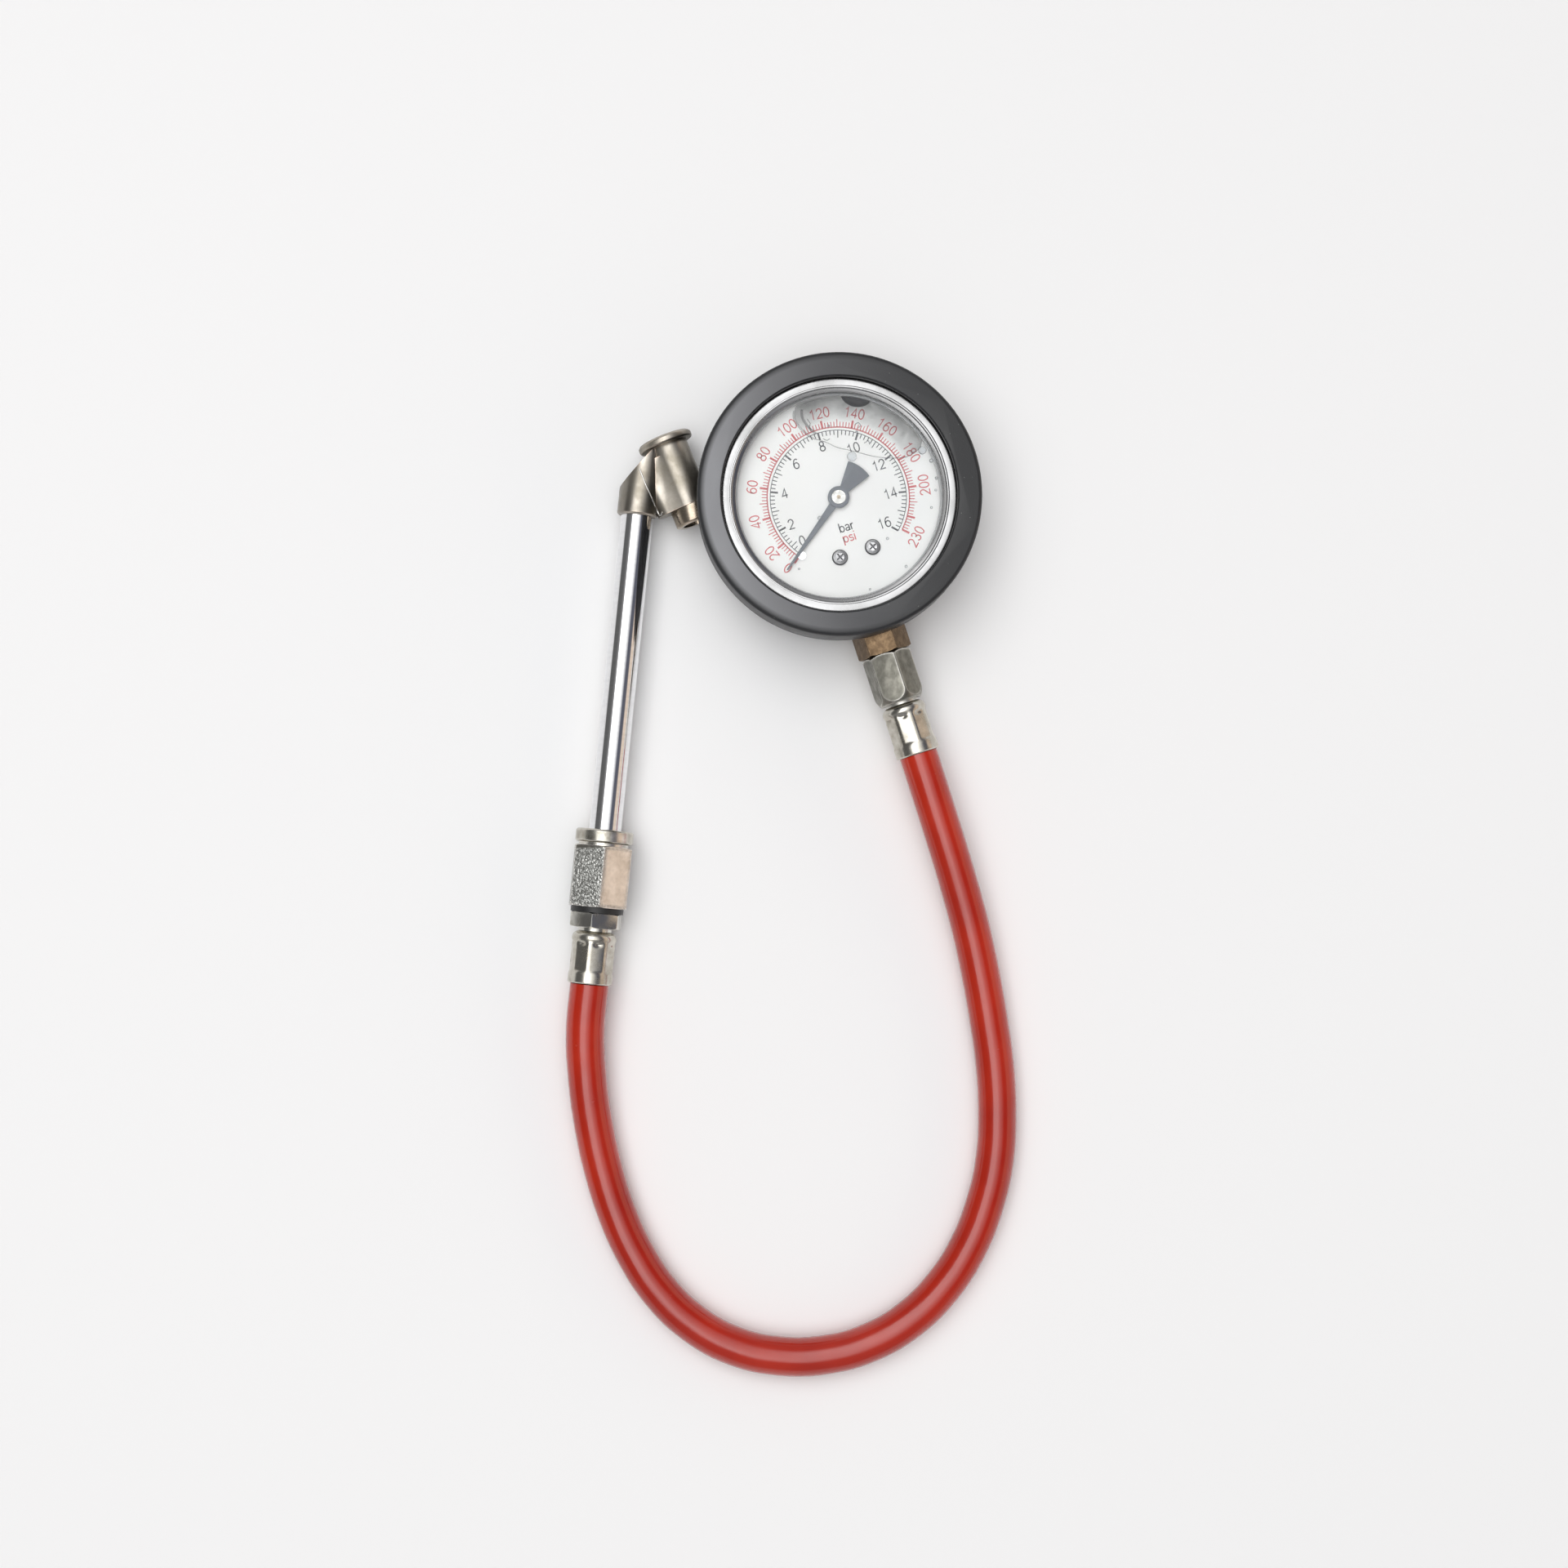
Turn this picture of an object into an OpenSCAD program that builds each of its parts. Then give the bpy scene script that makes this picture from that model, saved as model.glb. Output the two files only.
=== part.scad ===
// Tyre pressure gauge on a short hose, ending in an air chuck with two feet.
// The gauge lies on its back in a rubber boot and the hose curves round to the chuck beside it.
// Origin: on the gauge's axis at the back of the boot. +Z points out of the dial, +Y away from the hose.
// Lengths are in millimetres and angles in degrees.

/* [Gauge case] */
// Outer radius of the case cup
case_r = 31.2; // [30:0.1:33]
// Thickness of the case sheet
case_wall = 0.8; // [0.6:0.1:1.2]
// Depth of the case, from its back to the top of its flange
case_depth = 24; // [23.5:0.5:28]
// Width of the flange that the bezel grips
flange_w = 3; // [2.5:0.1:4]
// Height of the gasket under the lens
gasket_t = 1; // [0.6:0.1:1.6]
// Thickness of the lens
lens_t = 2.5; // [2:0.1:3]
// Thickness of the bezel sheet
bezel_t = 0.75; // [0.5:0.05:1]
// Rise of the bezel's crown above the lens
bezel_rise = 1.1; // [0.8:0.1:2]
// Width of the bezel's face over the lens
bezel_face = 4.2; // [3.8:0.1:6]
// Radius of the blow-out plug's neck
plug_r = 2.6; // [2:0.1:3]
// Turn of the blow-out plug round the case, from +X
plug_turn = 62; // [50:1:110]

/* [Rubber boot] */
// Thickness of the boot behind the case
boot_back = 3; // [2:0.5:5]
// Wall of the boot round the case
boot_wall = 3.6; // [2.8:0.1:4.2]
// Wall of the boot round the bezel
boot_rim = 6.1; // [4.5:0.1:8]
// Height over which the boot widens from the case to the bezel
boot_step_h = 3.6; // [2:0.1:5]
// Height of the lip above the bezel
boot_lip = 2.6; // [1.5:0.1:4]
// Width of the bezel that the lip covers
lip_cover = 0.9; // [0.5:0.1:2]
// Rounding of the boot's edges
boot_round = 1.2; // [0.5:0.1:2]

/* [Dial and pointer] */
// Drop from the underside of the lens to the back of the dial
dial_drop = 3.8; // [3.6:0.1:5]
// Thickness of the dial plate
dial_t = 0.6; // [0.4:0.1:0.8]
// Length of the pointer from its axis to its tip
pointer_len = 26; // [22:0.5:28]
// Length of the pointer's fan-shaped tail
pointer_tail = 10.9; // [8:0.1:13]
// Width of the tail at its end
tail_w = 7.5; // [5:0.1:9]
// Angle of the resting pointer, clockwise from the stem
pointer_rest = 53; // [45:1:60]
// Distance of the stop pin from the axis
stop_at = 20.1; // [18:0.1:21]
// Distance between the two dial screws
dial_screw_gap = 10; // [8:0.5:12]
// Distance of the dial screws from the axis, along the stem
dial_screw_y = 16.75; // [16:0.25:19]

/* [Movement] */
// Pitch radius of the sector gear over that of the pinion
gear_ratio = 10; // [10:1:11]
// Teeth on the pinion
pinion_teeth = 10; // [10:1:11]
// Module of the gear teeth
gear_module = 0.25; // [0.24:0.01:0.26]
// Width of the sector gear's sheet
sector_t = 1.2; // [0.8:0.1:1.4]
// Thickness of the two movement plates
plate_t = 1; // [0.8:0.1:1.2]
// Gap between the two movement plates
plate_gap = 7; // [6.5:0.1:8]
// Distance from the sector's axis to its link pin
tail_arm = 6; // [5.5:0.1:6.5]
// Distance between the link's two pins
link_len = 7; // [6.5:0.1:7.5]
// Mean radius of the Bourdon tube
bourdon_r = 22; // [21.5:0.1:23]
// Width of the flattened Bourdon tube, along Z
bourdon_w = 9; // [7:0.1:10]
// Thickness of the flattened Bourdon tube
bourdon_t = 2; // [1.6:0.1:2.4]

/* [Stem] */
// Height of the stem's axis above the back of the boot
stem_z = 13.5; // [13:0.1:14.5]
// Turn of the whole gauge about its axis
gauge_turn = 18; // [10:1:26]
// Width across the flats of the stem's hexagon
stem_af = 14; // [13:0.5:15]
// Turn of the stem's hexagon about the stem
stem_hex_turn = 8; // [0:1:30]
// Distance from the gauge's axis to the end of the hexagon
stem_reach = 46.7; // [44:0.1:50]
// Thread radius of the two hose joints
thread_r = 4.8; // [4.5:0.1:5]
// Length of the stem's thread
stem_thread = 8.8; // [7:0.1:10]
// Bore of the stem
stem_bore_r = 1.5; // [1:0.1:1.8]

/* [Hose fittings] */
// Width across the flats of the swivel nut
nut_af = 13; // [12.5:0.5:15]
// Turn of the swivel nut about the hose
nut_hex_turn = 16; // [0:1:30]
// Length of the swivel nut below its seat
nut_shoulder = 3.3; // [2:0.1:5]
// Thickness of the flat washer inside the swivel nut
nut_washer_t = 1.5; // [1:0.1:2]
// Outer radius of the crimped ferrules
ferrule_r = 6.6; // [6.5:0.05:7]
// Length of the crimped ferrules
ferrule_len = 15.4; // [13:0.1:18]
// Length of the flats crimped into a ferrule
crimp_len = 8.5; // [6:0.1:9]
// Width of the flats crimped into a ferrule
crimp_w = 4.4; // [3.5:0.1:4.4]
// Radius of the hose
hose_r = 5.75; // [5.5:0.05:5.8]
// Radius of the hose's bore
hose_bore_r = 3.1; // [2.8:0.1:3.3]
// Width across the flats of the hose's hexagon at the chuck
fitting_af = 14; // [13:0.5:15]
// Length of that hexagon
fitting_hex = 4.5; // [3:0.1:6]
// Turn of that hexagon about the hose, from one corner up
fitting_hex_turn = 7.5; // [0:0.5:30]
// Thickness of the black washer under that hexagon
inlet_washer_t = 1.6; // [1:0.1:2.5]

/* [Chuck handle] */
// Width across the flats of the inlet body
inlet_af = 16.5; // [15.5:0.5:17.5]
// Length of the inlet body's hexagon
inlet_len = 18; // [16:0.5:22]
// Turn of that hexagon about the tube, from one corner down
inlet_hex_turn = 4.5; // [0:0.5:15]
// Radius of the round collar on the inlet body
collar_r = 8.5; // [7.8:0.1:9]
// Length of that collar
collar_len = 3.9; // [3:0.1:5]
// Length of the groove between collar and hexagon
groove_len = 0.9; // [0.5:0.1:1.5]
// Radius of the handle tube
tube_r = 4.75; // [4.3:0.05:5]
// Wall of the handle tube
tube_wall = 1.5; // [1:0.1:1.8]
// Length of tube that shows between the inlet body and the head
tube_show = 93.4; // [80:0.1:120]
// Lean of the tube towards the gauge
chuck_lean = 5.7; // [3:0.05:8]
// Gap between the boot's wall and the end of the rear foot, along X
chuck_gap = 0.3; // [0.3:0.1:6]
// Place of the lower end of the head, along Y
chuck_y = -3.4; // [-6:0.1:0]

/* [Chuck head] */
// Radius of the casting round the tube
head_collar_r = 6; // [5.8:0.1:6.6]
// Radius of the casting round the two feet
barrel_r = 6.2; // [6.1:0.05:6.6]
// Angle between the tube and the axis of the feet
foot_lean = 27.5; // [24:0.5:30]
// Offset from the tube's axis to the middle of the front flange
foot_u = 6; // [5.5:0.1:7]
// Distance up the tube's axis to the middle of the front flange
foot_v = 22.8; // [22:0.1:25]
// Radius of the front foot's flange
flange_r = 8.2; // [7.5:0.1:9]
// Thickness of the front foot's flange
flange_t = 2.4; // [2:0.1:3]
// Radius of the rear foot
rear_foot_r = 6.25; // [6:0.05:6.4]
// Length of the rear foot outside the casting
rear_foot_len = 5.2; // [4:0.1:6]
// Radius of the mouths that fit over a tyre valve
mouth_r = 4.3; // [4:0.05:4.5]
// Thickness of the rubber seals in the feet
seal_t = 2; // [1.9:0.1:2.6]
// Radius of the hole in the seals
seal_hole_r = 1.75; // [1.5:0.05:2]
// Length of the chamber between the two seals
chamber_len = 12.6; // [12.4:0.1:15]
// Radius of that chamber
chamber_r = 4.4; // [4.2:0.05:4.6]
// Wire radius of the plunger spring
wire_r = 0.3; // [0.25:0.05:0.35]
// Turns of the plunger spring
spring_turns = 7; // [5:1:7]

/* [Clearances] */
// Radial clearance of a part that sits in another
sit_gap = 0.05; // [0.03:0.01:0.1]
// Radial clearance of an arbor that turns in a plate
pivot_gap = 0.05; // [0.03:0.01:0.1]
// Radial clearance of a plunger in its chamber
plunger_gap = 0.1; // [0.05:0.01:0.1]
// Clearance of the boot round the case
boot_gap = 0.1; // [0.05:0.05:0.3]
// Clearance of the boot above the rear foot
foot_clear = 0.9; // [0.6:0.1:1.5]

/* [Hidden] */
$fn = 64;
over = 1;                     // how far a cut runs past the face that it opens
arc_steps = 6;                // points on a rounded edge
hex_bevel = 0.8;
corner_up = 30;               // turn that puts a corner of a hexagon up

// Heights in the gauge
inner_r = case_r - case_wall;
rim_r = case_r + flange_w;
bezel_r = rim_r + sit_gap + bezel_t;
window_r = rim_r - bezel_face;
floor_z = boot_back + case_wall;
gasket_z = boot_back + case_depth;
flange_z = gasket_z - case_wall;
lens_z = gasket_z + gasket_t;
bezel_z = lens_z + lens_t;
bezel_top = bezel_z + bezel_rise;
bezel_round = 1.6;
window_lip = 0.45;            // thickness of the bezel's edge at the window
dial_z = lens_z - dial_drop;
dial_top = dial_z + dial_t;
dial_gap = 0.2;               // clearance of the dial round what passes through it
dial_r = inner_r - 2 * dial_gap;

// Boot
boot_case_r = case_r + boot_gap + boot_wall;
boot_r = bezel_r + boot_gap + boot_rim;
boot_top = bezel_top + boot_lip;
lip_r = bezel_r - lip_cover;
chuck_z = inlet_af / 2 / cos(30) * cos(inlet_hex_turn);
boot_step_z = chuck_z + rear_foot_r + foot_clear;
boot_groove_r = 25;
boot_groove_w = 2;
boot_groove_t = 0.6;

// Blow-out plug
plug_flange_w = 1.8;
plug_flange_r = plug_r + plug_flange_w;
plug_head_w = 0.6;
plug_head_r = plug_r + plug_head_w;
plug_flange_t = 2.1;
plug_head_t = 1.2;
plug_drop = 0.5;
plug_z = gasket_z - plug_drop - plug_flange_r;
plug_room = 1.2;              // gap between the plug and the edge of the dial

// Socket block behind the dial
block_w = 18;
block_t = 14;
block_top = -13.5;            // edge of the block nearest the axis
block_gap = 2.4;              // gap between the block and the case's wall
block_end = block_gap - inner_r;  // edge of the block nearest the stem
block_z = stem_z - block_t / 2;
passage_at = 18.5;            // closed end of the pressure passage, down the stem
tongue_w = 14;
tongue_t = 2.5;
tongue_end = 6;
boss_r = 2.6;
neck_r = 6;
hex_gap = 1.8;                // gap between the case and the stem's hexagon
neck_end = case_r + hex_gap;
stem_seal_w = 1.4;
seal_inside = 1.5;            // length of the stem's seal inside the case
stem_hole_r = neck_r + stem_seal_w + sit_gap;
stem_hex_r = stem_af / 2 / cos(30);

// Dial screws
dial_screw_r = 1;
dial_screw_len = 4;
dial_hole_len = 4.5;
dial_screw_head = [[0, 0], [2.3, 0], [2.3, 0.5], [1.9, 1.1], [1.2, 1.35], [0, 1.35]];
dial_slot_turn = 25;
dial_slot_len = 2.4;
dial_slot_w = 0.5;
dial_slot_z = 0.7;

// Movement
plate_z = block_z + tongue_t;
front_plate_z = plate_z + plate_t + plate_gap;
sector_lift = 2;
sector_z = plate_z + plate_t + sector_lift;
pinion_r = gear_module * pinion_teeth / 2;
sector_r = pinion_r * gear_ratio;
sector_teeth = pinion_teeth * gear_ratio;
sector_dir = -45;             // direction from the pinion to the sector's axis
sector_at = (pinion_r + sector_r) * [cos(sector_dir), sin(sector_dir)];
mesh_dir = sector_dir + 180;  // direction from the sector's axis to the pinion
teeth_ahead = 2;              // sector teeth before the line of centres
teeth_behind = 9;             // sector teeth that the full swing brings up
pressure_angle = 20;
tooth_play = 0.12;            // share of a tooth's width left as backlash
pinion_add = 0.9;             // tooth heights over the module
sector_add = 0.55;
sector_steps = 24;            // points on the arc under the sector's teeth
root_play = 0.3;
tail_dir = -25;               // direction of the sector's tail at rest
tail_at = sector_at + tail_arm * [cos(tail_dir), sin(tail_dir)];
swing = 26.1;                 // full swing of the sector
link_dir = tail_dir + swing / 2 + 90;
tip_at = tail_at + link_len * [cos(link_dir), sin(link_dir)];
tip_dir = atan2(tip_at[1], tip_at[0]);
arbor_r = 0.8;
journal_r = 0.5;
journal_out = 0.5;            // how far the arbor stands out behind its plate
end_play = 0.1;               // gap between an arbor's shoulder and its plate
pinion_side = 0.5;            // how far the pinion is wider than the sector on each side
arbor_step = 1;               // drop from the pointer to the arbor's shoulder
arbor_above = 0.3;
sector_hub_r = 1.9;
sector_hub_side = 0.6;
sector_window = [0.36, 0.84]; // shares of the sector's radius that its window spans
sector_rib = [6, 4];          // angles left beside the window, at its two radii
link_pin_r = 0.5;
link_play = 0.3;              // radial play at the link's open pivot
strap_r = 1.1;
link_t = 0.6;
link_gap = 0.2;
link_pin_out = 0.5;
link_top = sector_t + link_gap + link_t + link_pin_out;
lug_t = 1;
pillar_r = 1.2;
plate_edge = 2.3;             // least width of the plates round a hole
plate_cut = 1;
pillar_at = [[-8, -8], [8.2, 7.6], [-7.6, 7.2]];
screw_r = 0.6;
screw_len = 2.5;              // length of the plates' screws in their pillars
screw_hole_len = 3;
screw_head_r = 1.3;
screw_head_t = 1;
block_screw_at = [[-5, -10.5], [-4.5, 3]];
block_screw_r = 0.8;
block_screw_len = 1.5;
block_hole_len = 2;
block_head_r = 1.5;
block_head_t = 0.9;
collet_r = 1.2;
collet_side = 0.3;
spring_start = 0.1;           // gap between the collet and the hairspring
hairspring_r = 5;
hairspring_turns = 4;
hairspring_t = 0.16;
hairspring_w = 0.5;
hairspring_drop = 2;
hairspring_z = front_plate_z - hairspring_drop;
stud_r = 0.4;
stud_below = 0.2;

// Bourdon tube
bourdon_wall = 0.35;
bourdon_start = -108;         // direction of the end that the block holds
tip_span = 6;                 // angle that the tip piece takes up
bourdon_end = tip_dir + tip_span / 2;  // direction of the free end
tip_wall = 0.3;
bourdon_hold = 15;            // angle of the tube's end inside the block

// Pointer
pointer_t = 0.5;
pointer_lift = 1.2;           // gap between the dial and the pointer
pointer_z = dial_top + pointer_lift;
pointer_w = 1.1;              // half width beside the hub
pointer_tip_w = 0.25;         // half width at the tip
tail_neck_w = 1.5;            // half width of the tail beside the hub
hub_ring_r = 3.15;
hub_ring_rise = 0.3;          // how far the ring stands proud on each side
hub_r = 2;
hub_below = 0.5;
hub_above = 0.3;
hub_from = 3;                 // distance at which the pointer's taper starts
pointer_dir = -90 - pointer_rest;
stop_r = 0.5;
stop_gap = 0.08;
stop_collar_r = 1.2;
stop_collar_t = 0.6;
stop_above = 0.6;             // how far the stop pin stands above the pointer
arbor_tip_r = 0.6;

// Distances from the gauge's axis down the stem
thread_end = stem_reach + stem_thread;
nut_washer_end = thread_end + nut_washer_t;
tail_flange_t = 1.4;
tail_flange_end = nut_washer_end + tail_flange_t;
nut_play = 0.1;               // gap between the stem's hexagon and the nut
nut_start = stem_reach + nut_play;
nut_end = tail_flange_end + nut_shoulder;
nut_round = 6;                // radius of the nut's turned-down shoulder
nut_trim = 0.1;               // how far the nut's corners are turned off
nut_chamfer = 1;
nut_chamfer_h = 0.7;
nut_end_cut = 0.4;            // from the flats in to the nut's end face
tail_collar_t = 0.7;
stem_ferrule = nut_end + tail_collar_t;
restrictor_r = 2.5;
restrictor_len = 4;
restrictor_slot_w = 0.6;
restrictor_slot_t = 0.8;
orifice_r = 0.3;

// Hose tails and ferrules
hose_sides = 12;
tail_r = hose_bore_r + 0.1;
tail_collar_r = 4.9;
barb_gap = 0.09;
barb_r = hose_bore_r * cos(180 / hose_sides) - barb_gap;
barb_depth = 0.3;
barb_edge = [0.4, 0.8];       // ends of a barb's cylindrical part
barb_short = 2;               // how far the barbs end inside the ferrule
barb_step = 3;
tail_bore_r = 1.8;
ferrule_end_t = 1.5;
ferrule_round = 2.2;
ferrule_bevel = 0.3;
crimp_at = 3.2;
crimps = 8;
crimp_flat = sqrt(pow(ferrule_r, 2) - pow(crimp_w / 2, 2));

// Distances up the tube from the lower end of the head
collar_at = -tube_show - collar_len;
inlet_at = collar_at - groove_len;
inlet_end = inlet_at - inlet_len;
fitting_at = inlet_end - inlet_washer_t;
fitting_end = fitting_at - fitting_hex;
fitting_collar_t = 1;
chuck_ferrule_at = fitting_end - fitting_collar_t;
fitting_thread = 8;
socket_depth = 8;             // depth of the tube in the inlet body
head_socket = 6;              // depth of the tube in the head
collar_edge = 0.5;
groove_depth = 1.2;
washer_inset = 0.5;           // from the flats in to the black washer's edge

// Distances along the feet from the middle of the front flange
cast_start = flange_t / 2;
front_sleeve = 1.8;
rear_sleeve = 0.8;
front_seal_at = cast_start + front_sleeve + sit_gap;
chamber_at = front_seal_at + seal_t;
chamber_end = chamber_at + chamber_len;
rear_seal_end = chamber_end + seal_t;
rear_foot_at = rear_seal_end + sit_gap;
cast_end = rear_foot_at + rear_sleeve;
rear_foot_end = cast_end + rear_foot_len;
sleeve_wall = 0.9;
sleeve_r = mouth_r + sleeve_wall;
foot_corner_u = foot_u + rear_foot_end * sin(foot_lean) + rear_foot_r * cos(foot_lean);
foot_corner_v = foot_v - rear_foot_end * cos(foot_lean) + rear_foot_r * sin(foot_lean);
foot_reach = foot_corner_u * cos(chuck_lean) + foot_corner_v * sin(chuck_lean);
chuck_x = -(boot_case_r + chuck_gap + foot_reach);
flange_bevel = 0.7;
flange_edge = 0.4;
foot_edge = 0.5;
plunger_slots = 3;
plunger_slot_w = 1.6;
plunger_slot_t = 1.2;
web_reach = 6;
web_r = 4.2;
web_start = 4;
slope_a = [-6.3, 7.4];        // two points on the slope that cuts the collar of the head
slope_b = [2.1, 18.8];
head_top = 20;
duct_v = 7;
duct_r = 1.8;
duct_t = (foot_v - duct_v) * cos(foot_lean) - foot_u * sin(foot_lean);
duct_len = foot_u * cos(foot_lean) + (foot_v - duct_v) * sin(foot_lean);
plunger_head_t = 1.2;
plunger_nose_r = 1.1;
plunger_nose = seal_t - 0.2;
plunger_tail_r = 1.5;
plunger_tail = 1.8;
coil_r = 2.6;
coil_sides = 6;
coil_rings = 10;              // rings in one turn of the spring

// Free run of the hose between its two ferrules, on the sheet that the part lies on
hose_route = [
    [28.2, -87, 13.2], [32.4, -100, 11.9], [36.4, -113, 10.2], [40, -126, 8.6], [43, -139.5, 7.2],
    [45.4, -153, 6.2], [47.2, -166.5, 5.8], [47.8, -180, 5.8], [47, -193.5, 5.8], [44, -206.7, 5.8],
    [39, -219.2, 5.8], [31.5, -230.7, 5.8], [21.8, -240.2, 5.8], [10, -247, 5.8], [-3, -250.5, 5.8],
    [-16.7, -250.8, 5.8], [-30, -247.8, 5.8], [-42, -241.2, 5.8], [-51.7, -231.9, 5.8],
    [-59.2, -220.5, 5.8], [-64.8, -208, 5.8], [-68.8, -195, 5.9], [-71.6, -181.8, 6.4],
    [-73.3, -168.4, 7.4], [-73.8, -155, 8.8]];

// ---- places -------------------------------------------------------------------------------

// The gauge's own frame, with the stem along -Y
module in_gauge() rotate([0, 0, gauge_turn]) children();

// +Z runs down the stem from a distance along it
module down_stem(at) in_gauge() translate([0, -at, stem_z]) rotate([90, 0, 0]) children();

// The chuck's own frame, with the tube along +Y
module in_chuck() translate([chuck_x, chuck_y, chuck_z]) rotate([0, 0, -chuck_lean]) children();

// +Z runs up the tube, or down it towards the hose
module up_tube(at) in_chuck() translate([0, at, 0]) rotate([-90, 0, 0]) children();
module down_tube(at) in_chuck() translate([0, at, 0]) rotate([90, 0, 0]) children();

// +Z runs from the front foot to the rear foot
module along_feet(at)
    in_chuck() translate([foot_u, foot_v, 0]) rotate([0, 0, foot_lean]) rotate([90, 0, 0])
        translate([0, 0, at]) children();

// ---- shapes -------------------------------------------------------------------------------

module ring(outer, inner, h)
    difference() {
        cylinder(r = outer, h = h);
        translate([0, 0, -over]) cylinder(r = inner, h = h + 2 * over);
    }

// A flat bar with round ends from one point to another
module strap(from, to, r) {
    run = to - from;
    translate(from) circle(r = r);
    translate(to) circle(r = r);
    translate(from) rotate(atan2(run[1], run[0])) translate([0, -r]) square([norm(run), 2 * r]);
}

// A hexagonal bar whose corners are turned off at both ends
module hex_bar(af, h, bevel, turn = 0) {
    corner = af / 2 / cos(30);
    intersection() {
        rotate(turn) cylinder(r = corner, h = h, $fn = 6);
        rotate_extrude()
            polygon([[0, 0], [corner - bevel, 0], [corner, bevel / 2], [corner, h - bevel / 2],
                [corner - bevel, h], [0, h]]);
    }
}

// Points of an arc about a centre, from one angle to another
function arc(centre, r, from, to) =
    [for (i = [0:arc_steps]) let (a = from + (to - from) * i / arc_steps)
        centre + r * [cos(a), sin(a)]];

// ---- gear teeth ---------------------------------------------------------------------------

// How far an involute has turned, in degrees, when it reaches radius r
function roll(r, base) = let (a = acos(min(1, base / r))) tan(a) * 180 / PI - a;

// Half the angle that a tooth takes up at radius r
function tooth_half(r, pitch, teeth) =
    let (base = pitch * cos(pressure_angle))
    90 / teeth * (1 - tooth_play) + roll(pitch, base) - roll(max(r, base), base);

// Outline of one tooth that points along +X
function tooth(pitch, teeth, root, tip) =
    let (rs = [for (i = [0:4]) root + (tip - root) * i / 4])
    concat([for (r = rs) let (h = tooth_half(r, pitch, teeth)) r * [cos(h), -sin(h)]],
        [for (i = [4:-1:0]) let (h = tooth_half(rs[i], pitch, teeth)) rs[i] * [cos(h), sin(h)]]);

// ---- case ---------------------------------------------------------------------------------

module boot_profile()
    polygon(concat(
        [[0, 0]],
        arc([boot_case_r - boot_round, boot_round], boot_round, -90, 0),
        [[boot_case_r, boot_step_z], [boot_r, boot_step_z + boot_step_h]],
        arc([boot_r - boot_round, boot_top - boot_round], boot_round, 0, 90),
        arc([lip_r + boot_round / 2, boot_top - boot_round / 2], boot_round / 2, 90, 180),
        [[lip_r, bezel_top + boot_gap], [bezel_r + boot_gap, bezel_top + boot_gap],
            [bezel_r + boot_gap, flange_z - bezel_t - boot_gap],
            [case_r + boot_gap, flange_z - bezel_t - boot_gap],
            [case_r + boot_gap, boot_back], [0, boot_back]]));

// Moulded cup that grips the case and the bezel, open where the stem leaves
module rubber_boot()
    color([0.08, 0.08, 0.09])
    difference() {
        rotate_extrude() boot_profile();
        down_stem(case_r - 2 * case_wall) cylinder(r = stem_hex_r + 2 * boot_gap, h = boot_r);
        in_gauge() rotate(plug_turn) translate([case_r - over, 0, plug_z]) rotate([0, 90, 0])
            cylinder(r = plug_head_r + boot_gap, h = over + plug_head_t + 2 * boot_gap);
        translate([0, 0, -over]) ring(boot_groove_r + boot_groove_w, boot_groove_r,
            over + boot_groove_t);
    }

// Drawn cup with a turned-out flange
module gauge_case()
    color([0.72, 0.72, 0.72])
    difference() {
        rotate_extrude() polygon([
            [0, boot_back], [case_r - case_wall, boot_back], [case_r, boot_back + case_wall],
            [case_r, flange_z], [rim_r, flange_z], [rim_r, gasket_z], [inner_r, gasket_z],
            [inner_r, floor_z], [0, floor_z]]);
        down_stem(inner_r - stem_hole_r / 2) cylinder(r = stem_hole_r, h = stem_hole_r);
        in_gauge() rotate(plug_turn) translate([inner_r - over, 0, plug_z]) rotate([0, 90, 0])
            cylinder(r = plug_r + sit_gap, h = case_wall + 2 * over);
    }

// Rolled ring that clamps lens and gasket to the case's flange
module bezel_ring()
    color([0.86, 0.86, 0.86])
    rotate_extrude() polygon(concat(
        [[case_r + sit_gap, flange_z - bezel_t], [bezel_r, flange_z - bezel_t]],
        arc([bezel_r - bezel_round, bezel_top - bezel_round], bezel_round, 0, 90),
        [[window_r + 2 * bezel_t, bezel_top - bezel_t / 3], [window_r, bezel_z + window_lip],
            [window_r, bezel_z], [rim_r + sit_gap, bezel_z], [rim_r + sit_gap, flange_z],
            [case_r + sit_gap, flange_z]]));

module window_lens()
    color([0.9, 0.95, 0.97, 0.4]) translate([0, 0, lens_z]) cylinder(r = rim_r, h = lens_t);

module lens_gasket()
    color([0.1, 0.1, 0.1]) translate([0, 0, gasket_z]) ring(rim_r, inner_r, gasket_t);

// Rubber plug that vents the liquid-filled case
module blowout_plug()
    color([0.2, 0.2, 0.21])
    in_gauge() rotate(plug_turn) rotate([0, 90, 0]) translate([-plug_z, 0, 0]) {
        seat = sqrt(pow(inner_r, 2) - pow(plug_flange_r, 2)) - sit_gap;
        translate([0, 0, seat - plug_flange_t]) cylinder(r = plug_flange_r, h = plug_flange_t);
        translate([0, 0, seat - over]) cylinder(r = plug_r, h = case_r - seat + 2 * over);
        translate([0, 0, case_r + sit_gap]) cylinder(r = plug_head_r, h = plug_head_t);
    }

// ---- dial and pointer ---------------------------------------------------------------------

module at_dial_screws()
    for (side = [-1, 1])
        translate([side * dial_screw_gap / 2, -dial_screw_y, 0]) children();

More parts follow.
